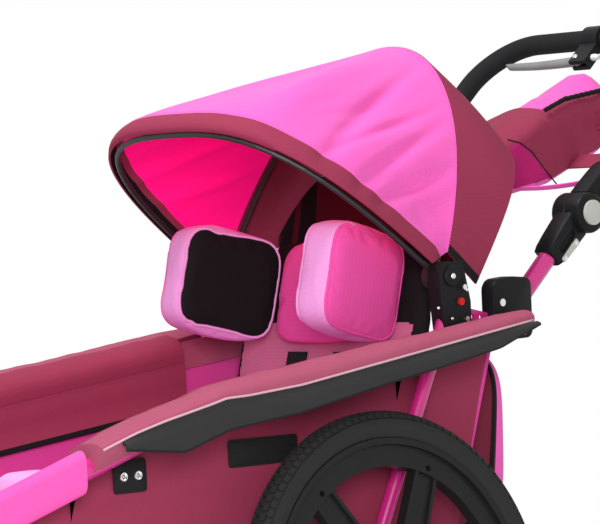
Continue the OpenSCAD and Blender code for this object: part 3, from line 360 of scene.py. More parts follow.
def piece(name: str, points: Points, faces: list, finishes: Sequence[Finish], pick: Optional[Pick] = None,
          sharp: float = 0.0, tints: Optional[list] = None) -> bpy.types.Object:
    """Makes a mesh piece.

    Args: name; points: millimetres; faces; finishes; pick, sharp: see smooth; tints: finish index by face.
    Returns: the new object.
    """
    mesh = bpy.data.meshes.new(name)
    mesh.from_pydata([row(p) for p in points], [], faces)
    work = bmesh.new()
    work.from_mesh(mesh)
    if tints:
        work.faces.ensure_lookup_table()
        for face, tint in zip(work.faces, tints):
            face.material_index = tint
    bmesh.ops.remove_doubles(work, verts=work.verts, dist=1e-6)
    bmesh.ops.recalc_face_normals(work, faces=work.faces)
    for finish in finishes:
        mesh.materials.append(finish.material())
    work.to_mesh(mesh)
    work.free()
    obj = link(name, mesh)
    smooth(obj, pick, sharp)
    return obj


def settle(obj: bpy.types.Object, body: str, finish: Finish, *nodes: str) -> bpy.types.Object:
    """Sets a piece on its body.

    Args: obj: piece; body: what it rides on; finish: not used; nodes: CAD nodes that it stands for.
    Returns: the piece.
    """
    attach(obj, body)
    note(obj, finish, *nodes)
    return obj


def note(obj: bpy.types.Object, finish: Finish, *nodes: str) -> None:
    """Args: obj: piece; finish: not used; nodes: CAD nodes that it stands for."""
    if nodes:
        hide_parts(*nodes)
    LOG.info("%s: %d faces", obj.name, len(obj.data.polygons))


def fit(name: str, shape: Shell, finish: Finish, sharp: float, body: str, *nodes: str) -> bpy.types.Object:
    """Makes a piece of one finish and sets it on its body.

    Args: name; shape: points and faces; finish; sharp: see smooth; body, nodes: see settle.
    Returns: the piece.
    """
    return settle(piece(name, *shape, (finish,), None, sharp), body, finish, *nodes)


def bake(obj: bpy.types.Object) -> None:
    """Turns an object's modifiers into its mesh. Args: obj: the piece."""
    graph = bpy.context.evaluated_depsgraph_get()
    mesh = bpy.data.meshes.new_from_object(obj.evaluated_get(graph))
    obj.modifiers.clear()
    obj.data = mesh


def refine(obj: bpy.types.Object) -> None:
    """Subdivides a piece once. Args: obj: the piece."""
    soft = obj.modifiers.new("soft", "SUBSURF")
    soft.levels = 1
    soft.render_levels = 1
    bake(obj)


def grid(surface: Surface, outer: float, inner: float, rows: int, cols: int) -> Shell:
    """Closed cloth between two depths of a surface.

    Args: surface: point by two shares and a depth; outer, inner: depths; rows, cols: cells.
    Returns: points and faces.
    """
    points = []
    for depth in (outer, inner):
        points += [surface(i / rows, j / cols, depth) for i in range(rows + 1) for j in range(cols + 1)]
    wide = cols + 1
    base = (rows + 1) * wide
    faces = []
    for i in range(rows):
        for j in range(cols):
            a = i * wide + j
            faces.append((a, a + 1, a + wide + 1, a + wide))
            faces.append((a + base, a + wide + base, a + wide + 1 + base, a + 1 + base))
    rim = [j for j in range(cols)] + [i * wide + cols for i in range(rows)]
    rim += [rows * wide + j for j in range(cols, 0, -1)] + [i * wide for i in range(rows, 0, -1)]
    for k, a in enumerate(rim):
        b = rim[(k + 1) % len(rim)]
        faces.append((a, a + base, b + base, b))
    return points, faces


def grid_tints(rows: int, cols: int, outer: Callable[[int, int], int], inner: Callable[[int, int], int],
               rim: int) -> list[int]:
    """Finish indices for grid.

    Args: rows, cols: cells; outer, inner: index by cell; rim: index of the edges.
    Returns: one index a face.
    """
    tints = []
    for i in range(rows):
        for j in range(cols):
            tints += [outer(i, j), inner(i, j)]
    return tints + [rim] * (2 * rows + 2 * cols)


def table(place: float, pairs: Sequence[tuple]) -> float:
    """Args: place: where; pairs: places and values, in order. Returns: the value there, in between."""
    for (a, low), (b, high) in zip(pairs, pairs[1:]):
        if place <= b:
            return mix(low, high, max(0.0, (place - a) / (b - a)))
    return pairs[-1][1]


def loft(rings: list[Points], closed: bool = False) -> Shell:
    """Skin over rings, with its ends closed.

    Args: rings: equal lists of points; closed: the last ring meets the first.
    Returns: points and faces.
    """
    count = len(rings[0])
    points = [p for ring in rings for p in ring]
    faces = []
    total = len(rings)
    for k in range(total if closed else total - 1):
        a, b = k * count, (k + 1) % total * count
        faces += [(a + i, a + (i + 1) % count, b + (i + 1) % count, b + i) for i in range(count)]
    if not closed:
        for k in (0, total - 1):
            points.append(sum(rings[k], Vector()) / count)
            middle = len(points) - 1
            faces += [(k * count + i, k * count + (i + 1) % count, middle) for i in range(count)]
    return points, faces


def tube(path: Points, radius: float, sides: int = 10, closed: bool = False) -> Shell:
    """Round cord along a path.

    Args: path: millimetres; radius; sides; closed: a loop.
    Returns: points and faces.
    """
    rings = []
    side = Vector()
    last = len(path) - 1
    for k, p in enumerate(path):
        ahead = path[(k + 1) % len(path)] if closed else path[min(k + 1, last)]
        behind = path[k - 1] if closed else path[max(k - 1, 0)]
        way = (ahead - behind).normalized()
        if side.length < 0.5:
            side = way.orthogonal().normalized()
        side = (side - way * side.dot(way)).normalized()
        up = way.cross(side)
        rings.append([p + radius * (math.cos(t) * side + math.sin(t) * up) for t in circle(sides)])
    return loft(rings, closed)


def lathe(profile: Sequence[tuple], turns: int, at: Matrix) -> Shell:
    """Closed ring.

    Args: profile: radius and depth pairs; turns: steps; at: its frame, with the axis along Z.
    Returns: points and faces.
    """
    rings = [[at @ Vector((r * math.cos(a), r * math.sin(a), z)) for r, z in profile] for a in circle(turns)]
    return loft(rings, True)


def plate(outline: Sequence[tuple], x0: float, x1: float, edge: float = 2.0) -> Shell:
    """Side-view outline thickened along X, with eased edges.

    Args: outline: along and up pairs; x0, x1: millimetres; edge: easing.
    Returns: points and faces.
    """
    flat = [Vector((0, y, z)) for y, z in outline]
    middle = sum(flat, Vector()) / len(flat)
    low, high = min(x0, x1), max(x0, x1)

    def ring(x: float, inset: float) -> Points:
        ringed = []
        for p in flat:
            arm = p - middle
            ringed.append(Vector((x, 0, 0)) + middle + arm * max(0.0, 1 - inset / arm.length))
        return ringed

    eased = ((0, edge), (0.3 * edge, 0.3 * edge), (edge, 0))
    rings = [ring(low + step, inset) for step, inset in eased]
    return loft(rings + [ring(high - step, inset) for step, inset in reversed(eased)])


def rounded(outline: Sequence[tuple], radius: float, count: int = 5) -> list[tuple]:
    """Rounds an outline's corners. Args: outline: pairs; radius; count: steps per corner. Returns: pairs."""
    made = []
    for i in range(len(outline)):
        p = Vector(outline[i])
        a = Vector(outline[i - 1]) - p
        b = Vector(outline[(i + 1) % len(outline)]) - p
        reach = min(radius, 0.45 * a.length, 0.45 * b.length)
        start, end = p + a.normalized() * reach, p + b.normalized() * reach
        made += [tuple(mix(mix(start, p, t), mix(p, end, t), t)) for t in steps(0, 1, count)]
    return made


def joined(*parts: Shell) -> Shell:
    """Args: parts: points and faces of several shells. Returns: them as one."""
    points, faces = [], []
    for some, made in parts:
        base = len(points)
        points += some
        faces += [tuple(i + base for i in face) for face in made]
    return points, faces


def moved(part: Shell, matrix: Matrix) -> Shell:
    """Args: part: points and faces; matrix: where to. Returns: the part in its new place."""
    return [matrix @ p for p in part[0]], part[1]


PAD_LAYERS = ((-0.5, 0.62), (-0.46, 0.8), (-0.36, 0.93), (-0.16, 1), (0.16, 1), (0.36, 0.93), (0.46, 0.8),
              (0.5, 0.62))
BOX_LAYERS = ((-0.5, 0.88), (-0.47, 0.95), (-0.41, 0.985), (-0.2, 1), (0.2, 1), (0.41, 0.985), (0.47, 0.95),
              (0.5, 0.88))


def padding(width: float, height: float, thick: float, layers: Sequence[tuple] = PAD_LAYERS,
            around: int = 48, power: float = 4.5) -> Shell:
    """Cushion form, thick along Z.

    Args: width, height, thick: millimetres; layers: depth and fullness; around: points; power: of corners.
    Returns: points and faces.
    """
    rings = []
    for depth, share in layers:
        ring = []
        for a in circle(around):
            ring.append(Vector((width / 2 * share * signed_power(math.cos(a), 2 / power),
                                height / 2 * share * signed_power(math.sin(a), 2 / power), thick * depth)))
        rings.append(ring)
    return loft(rings)


def sided(part: Shell, side: Side) -> Shell:
    """Args: part: left-hand points and faces; side. Returns: the part on that side."""
    return part if side is Side.LEFT else ([flipped(p) for p in part[0]], part[1])


def both(part: Shell) -> Shell:
    """Args: part: left-hand points and faces. Returns: both sides as one."""
    return joined(part, sided(part, Side.RIGHT))


@dataclass
class Stuffing:
    """Swells a cushion with a short cloth simulation."""

    voxel: float = 5.0
    pressure: float = 4.0
    cap: float = 5.0
    frames: int = 20

    def swell(self, obj: bpy.types.Object) -> None:
        shape = obj.modifiers.new("voxel", "REMESH")
        shape.mode = "VOXEL"
        shape.voxel_size = self.voxel * MM
        shape.use_smooth_shade = True
        bake(obj)
        rest = [v.co.copy() for v in obj.data.vertices]
        cloth = obj.modifiers.new("cloth", "CLOTH")
        cloth.settings.use_pressure = True
        cloth.settings.uniform_pressure_force = self.pressure
        cloth.settings.effector_weights.gravity = 0.0
        cloth.settings.quality = 4
        cloth.point_cache.frame_start = 1
        cloth.point_cache.frame_end = self.frames
        for step in range(1, self.frames + 1):
            bpy.context.scene.frame_set(step)
        bake(obj)
        bpy.context.scene.frame_set(1)
        for vertex, start in zip(obj.data.vertices, rest):
            move = vertex.co - start
            if move.length > self.cap * MM:
                vertex.co = start + move.normalized() * self.cap * MM


def stuffed(name: str, shape: Shell, finishes: Sequence[Finish], stuffing: Stuffing,
            pick: Optional[Pick] = None) -> bpy.types.Object:
    """Makes a swollen cushion.

    Args: name; shape: points and faces; finishes; stuffing; pick: see smooth.
    Returns: the cushion.
    """
    obj = piece(name, *shape, finishes)
    stuffing.swell(obj)
    refine(obj)
    dress_faces(obj, finishes, pick, 0)
    return obj


def repeat_tree(unit: Unit) -> bpy.types.NodeTree:
    """Node tree that sets one small unit on every point. Args: unit: its shape. Returns: the tree."""
    tree = bpy.data.node_groups.new(f"repeat_{unit.value}", "GeometryNodeTree")
    for name, kind in (("Geometry", "Geometry"), ("Size", "Vector"), ("Finish", "Material")):
        tree.interface.new_socket(name, in_out="INPUT", socket_type=f"NodeSocket{kind}")
    tree.interface.new_socket("Geometry", in_out="OUTPUT", socket_type="NodeSocketGeometry")
    nodes, links = tree.nodes, tree.links
    given = nodes.new("NodeGroupInput")
    turn = nodes.new("FunctionNodeAxesToRotation")
    turn.primary_axis = "Z"
    turn.secondary_axis = "X"
    for key, socket in (("out", 0), ("along", 1)):
        named = nodes.new("GeometryNodeInputNamedAttribute")
        named.data_type = "FLOAT_VECTOR"
        named.inputs["Name"].default_value = key
        links.new(named.outputs[0], turn.inputs[socket])
    if unit is Unit.BLOCK:
        shape = nodes.new("GeometryNodeMeshCube")
        links.new(given.outputs["Size"], shape.inputs["Size"])
    else:
        shape = nodes.new("GeometryNodeMeshCylinder")
        shape.inputs["Vertices"].default_value = 20
        split = nodes.new("ShaderNodeSeparateXYZ")
        links.new(given.outputs["Size"], split.inputs[0])
        links.new(split.outputs["X"], shape.inputs["Radius"])
        links.new(split.outputs["Z"], shape.inputs["Depth"])
    spread = nodes.new("GeometryNodeInstanceOnPoints")
    links.new(given.outputs["Geometry"], spread.inputs["Points"])
    links.new(shape.outputs["Mesh"], spread.inputs["Instance"])
    links.new(turn.outputs[0], spread.inputs["Rotation"])
    real = nodes.new("GeometryNodeRealizeInstances")
    links.new(spread.outputs[0], real.inputs[0])
    paint = nodes.new("GeometryNodeSetMaterial")
    links.new(real.outputs[0], paint.inputs["Geometry"])
    links.new(given.outputs["Finish"], paint.inputs["Material"])
    links.new(paint.outputs[0], nodes.new("NodeGroupOutput").inputs[0])
    return tree


@dataclass
class Spot:
    """Place of one repeated unit: where, facing which way, and which way it lies, in millimetres."""

    at: Vector
    out: Vector
    along: Vector


def both_spots(spots: list[Spot]) -> list[Spot]:
    """Args: spots: left-hand spots that face outward or inward. Returns: both sides' spots."""
    return spots + [Spot(flipped(s.at), -s.out, s.along) for s in spots]


def repeat(name: str, spots: list[Spot], unit: Unit, size: Sequence[float],
           finish: Finish) -> bpy.types.Object:
    """Sets a unit on every spot.

    Args: name; spots; unit; size: millimetres along, across, out; finish.
    Returns: one plain mesh object.
    """
    mesh = bpy.data.meshes.new(name)
    mesh.from_pydata([row(s.at) for s in spots], [], [])
    for key in ("out", "along"):
        held = mesh.attributes.new(key, "FLOAT_VECTOR", "POINT")
        held.data.foreach_set("vector", [c for s in spots for c in getattr(s, key).normalized()])
    obj = link(name, mesh)
    tree = repeat_tree(unit)
    maker = obj.modifiers.new("repeat", "NODES")
    maker.node_group = tree
    values = {"Size": [v * MM for v in size], "Finish": finish.material()}
    for item in tree.interface.items_tree:
        if item.in_out == "INPUT" and item.name in values:
            maker[item.identifier] = values[item.name]
    bake(obj)
    for key in ("out", "along"):
        if key in obj.data.attributes:
            obj.data.attributes.remove(obj.data.attributes[key])
    return obj


def stitch_spots(path: Points, out: Callable[[Vector], Vector], pitch: float) -> list[Spot]:
    """Spots of a seam. Args: path: millimetres; out: facing by place; pitch: step. Returns: the spots."""
    spots = []
    carry = 0.0
    for a, b in zip(path, path[1:]):
        length = (b - a).length
        place = carry
        while place < length:
            at = mix(a, b, place / length)
            spots.append(Spot(at, out(at), b - a))
            place += pitch
        carry = place - length
    return spots


# Sub-assemblies


def rail_height(y: float) -> float:
    """Args: y: along the buggy. Returns: height of a side rail's middle there."""
    high = RAIL_HEIGHT + max(y, RAIL_BEND) * RAIL_SLOPE
    return high + min(0.0, y - RAIL_BEND) * NOSE_SLOPE


@dataclass(frozen=True)
class Arch:
    """Bent edge of the hood: half width, reach, power of its curve, slope, rise of its ends, and start."""

    half: float
    reach: float
    power: float
    angle: float
    rise: float
    base: tuple = HOOD_PIVOT

    def at(self, share: float, inset: float) -> Vector:
        """Args: share: along the arch; inset: inward. Returns: the point."""
        reach = self.reach - inset
        low = math.asin((self.rise / reach) ** (self.power / 2))
        t = low + (math.pi - 2 * low) * share
        r = reach * math.sin(t) ** (2 / self.power)
        a = math.radians(self.angle)
        across = (self.half - inset) * signed_power(math.cos(t), 2 / self.power)
        return Vector((across, self.base[0] + r * math.cos(a), self.base[1] + r * math.sin(a)))


@dataclass
class Hood:
    """Two-panel folding hood on its bows, and the curtain that closes it behind the headrest."""

    front: Arch = Arch(236.0, 336.0, 3.0, 143.0, 30.0)
    main: Arch = Arch(226.0, 339.0, 2.0, 67.0, 34.0)
    rear: Arch = Arch(221.0, 265.0, 4.4, 55.5, 30.0, (223.3, 607.3))
    thick: float = 3.0
    rows: int = 200
    cols: int = 44
    rear_cols: int = 30
    # Rim band of the front panel, and its binding on the inside
    band: float = 34.0
    band_cols: int = 6
    binding_cols: int = 4
    rim_rise: float = 28.0
    rim_turn: float = 0.045
    # Folds: a count and depths, then single creases as place, slope, depth and width
    folds: int = 5
    fold_depth: float = 9.0
    small_fold: float = 2.0
    pucker: float = 1.5
    crease_gain: float = 1.5
    creases: tuple = ((0.1, 0.04, 5.0, 0.012), (0.16, 0.1, 6.0, 0.014), (0.22, 0.05, 4.0, 0.01),
                      (0.27, 0.2, 7.0, 0.02), (0.4, 0.16, -9.0, 0.05), (0.62, -0.16, 6.0, 0.016),
                      (0.72, -0.14, 5.0, 0.014), (0.8, -0.1, 6.0, 0.014), (0.88, -0.05, 4.0, 0.012))
    # Rear panel
    bulge: float = 10.5
    rear_fold: float = 2.2
    rear_start: float = 0.004
    hem: float = 11.0
    hem_rows: int = 3
    # Flat cuts in metres, and bends as two bodies, a plane's angle and the bend's two ends
    front_flat: tuple = (0.98, 0.45)
    rear_flat: tuple = (0.9, 0.16)
    front_bend: tuple = ("hood_main", "hood_front", 105, -110, 110)
    rear_bend: tuple = ("frame", "hood_main", 50, -36, 99)
    # Curtain
    curtain_low: tuple = (188.0, 229.0, 640.0)
    curtain_ends: tuple = (0.06, 0.94)
    curtain_inset: float = 23.0
    curtain_gap: float = 27.0
    curtain_sag: float = 6.0
    curtain_wave: float = 2.0
    curtain_thick: float = 1.8
    curtain_bands: tuple = ((107, 141), (152, 184))
    curtain_bend: tuple = ((0, 326, 798), (0, 229, 650))
    curtain_flat: tuple = (0.5, 0.2)

    def outward(self, p: Vector) -> Vector:
        """Args: p: a point. Returns: the way straight out from the pivot line."""
        return Vector((0, p[1] - HOOD_PIVOT[0], p[2] - HOOD_PIVOT[1])).normalized()

    def dome(self, p: Vector) -> Vector:
        """Args: p: a point. Returns: the way out of the hood's round there."""
        stretch = (self.main.reach / self.main.half) ** 2
        return Vector((p[0] * stretch, p[1] - HOOD_PIVOT[0], p[2] - HOOD_PIVOT[1])).normalized()

    def eased(self, share: float) -> float:
        """Args: share: even share along an arch. Returns: a share that crowds at the ends."""
        return (1 - math.cos(math.pi * share)) / 2

    def front_cloth(self, even: float, across: float, inset: float) -> Vector:
        """Args: even: along the arch; across: front to main bow, by column; inset. Returns: the point."""
        share = self.eased(even)
        a, b = self.front.at(share, inset), self.main.at(share, inset)
        cut = self.band_cols / self.cols
        edge = min(0.55, self.band / (b - a).length)
        v = edge * across / cut if across < cut else mix(edge, 0.996, (across - cut) / (1 - cut))
        p = mix(a, b, v)
        loose = math.sin(math.pi * v)
        turn = (1 - v) * (1 - math.exp(-v / self.rim_turn))
        rise = self.rim_rise * turn * math.sin(math.pi * share) ** 0.5
        wave = (1 - math.cos(2 * math.pi * self.folds * share + 1.4 * v)) / 2
        small = (1 - math.cos(2 * math.pi * 2.6 * self.folds * share - 2.2 * v)) / 2
        draw = loose * (self.fold_depth * wave * (0.35 + 0.65 * v) + self.small_fold * small * v)
        pucker = self.pucker * noise.noise(Vector((share * 44, v * 5, 1.3))) * loose
        crease = 0.0
        for place, slope, deep, wide in self.creases:
            crease += deep * math.exp(-((share - place - slope * (v - 0.5)) / wide) ** 2)
        deep = draw - pucker + self.crease_gain * crease * loose
        return p + rise * self.outward(p) - deep * self.dome(p)

    def rear_cloth(self, share: float, depth: float, inset: float) -> Vector:
        """Args: share: along the arch; depth: main bow to hem; inset. Returns: the point."""
        v = mix(self.rear_start, 1, depth)
        p = mix(self.main.at(share, inset), self.rear.at(share, inset), v)
        fold = self.rear_fold * math.sin(math.pi * v) * (1 - math.cos(2 * math.pi * 4 * share + 3 * v))
        full = self.bulge * math.sin(math.pi * v) * math.sin(math.pi * share) ** 0.56
        return p + full * self.outward(p) - fold * math.sin(math.pi * share) * self.dome(p)

    def hem_share(self, depth: float) -> float:
        """Args: depth: main bow to hem. Returns: the share along the arch where the bottom hem band ends."""
        start = self.rear_cloth(0, depth, 0)
        low, high = 0.0, 0.3
        for _ in range(24):
            middle = (low + high) / 2
            if (self.rear_cloth(middle, depth, 0) - start).length < self.hem:
                low = middle
            else:
                high = middle
        return low

    def curtain(self, depth: float, share: float, out: float) -> Vector:
        """Args: depth: hem to backrest; share: across; out: off the cloth. Returns: the point."""
        half, y, z = self.curtain_low
        top = self.rear.at(mix(*self.curtain_ends, share), self.curtain_inset)
        top = top - Vector((0, self.curtain_gap, 0))
        p = mix(top, Vector((mix(half, -half, share), y, z)), depth)
        sag = (self.curtain_sag + self.curtain_wave * math.sin(26 * share)) * math.sin(math.pi * depth)
        return p + Vector((0, 0.707, -0.707)) * (sag + out)

    def build(self) -> None:
        """Builds both panels and the curtain."""
        made = grid(self.front_cloth, 0, self.thick, self.rows, self.cols)
        tints = grid_tints(self.rows, self.cols, lambda i, j: 1 if j < self.band_cols else 0,
                           lambda i, j: 3 if j < self.binding_cols else 1 if j < self.band_cols else 2, 1)
        panel = piece("hood_front_cloth", *made, (PINK, BURGUNDY, LINING, BLACK_CLOTH), None, 60, tints)
        self.bend(panel, *self.front_bend)
        note(panel, PINK, "hood_front_panel")
        self.build_rear()
        self.build_curtain()

    def build_rear(self) -> None:
        """Builds the rear panel, with a dark band along its bottom edges."""
        cols = self.rear_cols
        shares = [self.hem_share(depth) for depth in steps(0, 1, cols)]
        cut = self.hem_rows / self.rows

        def cloth(even: float, depth: float, inset: float) -> Vector:
            edge = shares[round(depth * cols)]
            share = mix(edge, 1 - edge, self.eased((even - cut) / (1 - 2 * cut)))
            if even < cut:
                share = edge * even / cut
            if even > 1 - cut:
                share = 1 - edge * (1 - even) / cut
            return self.rear_cloth(share, depth, inset)

        def band(i: int, j: int) -> int:
            return 1 if min(i, self.rows - 1 - i) < self.hem_rows else 0

        made = grid(cloth, 0, self.thick, self.rows, cols)
        tints = grid_tints(self.rows, cols, band, band, 0)
        panel = piece("hood_rear_cloth", *made, (BURGUNDY, BLACK_CLOTH), None, 60, tints)
        self.bend(panel, *self.rear_bend)
        note(panel, BURGUNDY, "hood_rear_panel")

    def build_curtain(self) -> None:
        """Builds the cloth that closes the hood behind the headrest, with its webbing bands; its near-black
        burgundy is painted shade.
        """
        rows, cols = 14, 120
        half = self.curtain_low[0]

        def band(i: int, j: int) -> int:
            x = abs(mix(half, -half, (j + 0.5) / cols))
            return int(any(low < x < high for low, high in self.curtain_bands))

        made = grid(self.curtain, self.curtain_thick, 0, rows, cols)
        tints = grid_tints(rows, cols, band, band, 0)
        obj = piece("hood_curtain", *made, (PAINTED_SHADE_BURGUNDY, BLACK_CLOTH), None, 50, tints)
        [row(p) for p in self.curtain_bend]
        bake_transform(obj)
        note(obj, PAINTED_SHADE_BURGUNDY)

    def bend(self, obj: bpy.types.Object, a: str, b: str, angle: float, start: float, end: float) -> None:
        """Bakes the panel's place into its mesh. Args: obj: panel; a, b, angle, start, end: not used."""
        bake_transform(obj)

    def dress(self) -> None:
        """Adds the stitches along the rim band and the main bow's seam."""
        cut = self.band_cols / self.cols
        for label, across in (("rim", cut + 0.01), ("bow", 0.985)):
            line = [self.front_cloth(k / 240, across, -0.2) for k in range(8, 233)]
            spots = stitch_spots(line, self.outward, 4.5)
            seam = repeat(f"hood_{label}_stitches", spots, Unit.BLOCK, (2.8, 0.7, 0.4), PINK)
            self.bend(seam, *self.front_bend)
            note(seam, PINK)


@dataclass
class Headrest:
    """Backrest, winged headrest, belts and buckle, on the backrest's own frame."""

    pivot: tuple = (0.0, 112.0, 285.0)
    lean: float = -14.0
    shrink: float = 5.0
    pressure: float = 2.0
    # Backrest: size, start above its rod, where it turns black on its top and outer edges, and the rod
    back: tuple = (380.0, 425.0, 35.0)
    back_start: float = 6.0
    black_above: float = 305.0
    black_beyond: float = 168.0
    rod_half: float = 214.7
    rod_radius: float = 8.0
    # Headrest pad and wings: sizes and places
    pad: tuple = (175.4, 150.0, 28.0)
    pad_at: tuple = (0, -31.8, 344)
    wing: tuple = (163.0, 150.0, 61.0)
    wing_at: tuple = (131.95, -98.89, 344.0)
    flare: float = 9.5
    seam: float = 23.5
    piping: float = 2.2
    # Belts: place and size on the backrest
    belt_at: tuple = (27, -17.9, 62)
    belt: tuple = (38, 2.3, 203)
    belt_bow: float = 2.0
    buckle: tuple = ((-35, 62), (35, 62), (30, 106), (-30, 106))
    buckle_ends: tuple = (20.9, 32.6)

    def frame_at(self) -> Matrix:
        """Returns: the backrest's frame."""
        return on_frame(self.pivot, self.lean)

    def cushion(self, name: str, size: tuple, at: Matrix, finishes: Sequence[Finish], pick: Optional[Pick],
                node: str, layers: Sequence[tuple] = PAD_LAYERS) -> bpy.types.Object:
        """Makes a cushion on the backrest.

        Args: name; size: millimetres; at: place; finishes; pick; node: CAD node; layers: see padding.
        Returns: the cushion.
        """
        wide, high, thick = size
        made = padding(wide - self.shrink, high - self.shrink, thick - 1.4 * self.shrink, layers)
        stuffing = Stuffing(pressure=self.pressure, cap=0.6 * self.shrink)
        obj = stuffed(name, moved(made, at), finishes, stuffing, pick)
        return settle(obj, "backrest", finishes[0], node)

    def build(self) -> None:
        """Builds the cushions."""
        on_back = self.frame_at()
        upright = turned(90, "X")
        inverse = on_back.inverted()

        def pick(p: Vector, normal: Vector) -> int:
            q = inverse @ p
            return 1 if q[2] > self.black_above or abs(q[0]) > self.black_beyond else 0

        at = on_back @ Matrix.Translation((0, 0, self.back_start + self.back[1] / 2)) @ upright
        self.cushion("back_cushion", self.back, at, (LIT_SEAT_DUSTY, BLACK_CLOTH), pick, "backrest")
        ends = [on_back @ Vector((x, 0, 0)) for x in (-self.rod_half, self.rod_half)]
        fit("back_hinge_rod", tube(ends, self.rod_radius, 24), PLASTIC, 40, "backrest")
        at = on_back @ Matrix.Translation(self.pad_at) @ upright
        self.cushion("head_cushion", self.pad, at, (HOT_PINK,), None, "headrest_pad")
        for side in Side:
            self.build_wing(side, on_back)

    def build_wing(self, side: Side, on_back: Matrix) -> None:
        """Args: side: which wing; on_back: the backrest's frame."""
        x, y, z = self.wing_at
        place = Matrix.Translation((x * side.value, y, z))
        turn = turned(self.flare * side.value, "Z")
        at = on_back @ place @ turn @ (turned(90, "Z") @ turned(90, "X"))
        inverse = at.inverted()

        def pick(p: Vector, normal: Vector) -> int:
            out = (inverse @ p)[2] * side.value
            return 0 if out > self.seam else 1 if out < -self.seam else 2

        finishes = (HOT_PINK, BLACK_CLOTH, LIGHT_PINK)
        obj = self.cushion(f"{side.word}_wing_cushion", self.wing, at, finishes, pick,
                           f"{side.word}_head_wing", BOX_LAYERS)
        for label, out, finish in (("outer", self.seam, HOT_PINK), ("inner", -self.seam, LIGHT_PINK)):
            cord = tube(self.seam_line(obj, at, out * side.value), self.piping, 8, True)
            fit(f"{side.word}_wing_{label}_piping", cord, finish, 0, "backrest")

    def seam_line(self, obj: bpy.types.Object, at: Matrix, depth: float) -> Points:
        """Args: obj: cushion; at: its frame; depth: across it. Returns: a line round its skin there."""
        mesh = obj.data
        tree = BVHTree.FromPolygons([v.co for v in mesh.vertices], [f.vertices for f in mesh.polygons])
        line = []
        for a in circle(96):
            arm = Vector((self.wing[0] * signed_power(math.cos(a), 0.44),
                          self.wing[1] * signed_power(math.sin(a), 0.44), 0)) / 2
            far, near = (row(at @ (arm * share + Vector((0, 0, depth)))) for share in (1.4, 0.5))
            hit = tree.ray_cast(far, (near - far).normalized())[0]
            if hit:
                line.append(unrow(hit))
        return line

    def dress(self) -> None:
        """Adds belts and buckle."""
        on_back = self.frame_at()
        x, y, z = self.belt_at
        wide, thick, long = self.belt

        def belt(s: float, v: float, depth: float) -> Vector:
            bow = self.belt_bow * math.sin(math.pi * s)
            return on_back @ Vector((x + wide * v, y - depth - bow, z + long * s))

        fit("harness_belts", both(grid(belt, thick, 0, 24, 6)), WEBBING, 50, "backrest", "harness_straps")
        points, faces = plate(rounded(self.buckle, 10), *self.buckle_ends, 3)
        made = [on_back @ Vector((p[1], -p[0], p[2])) for p in points], faces
        fit("buckle_body", made, WHITE, 40, "backrest", "harness_buckle")


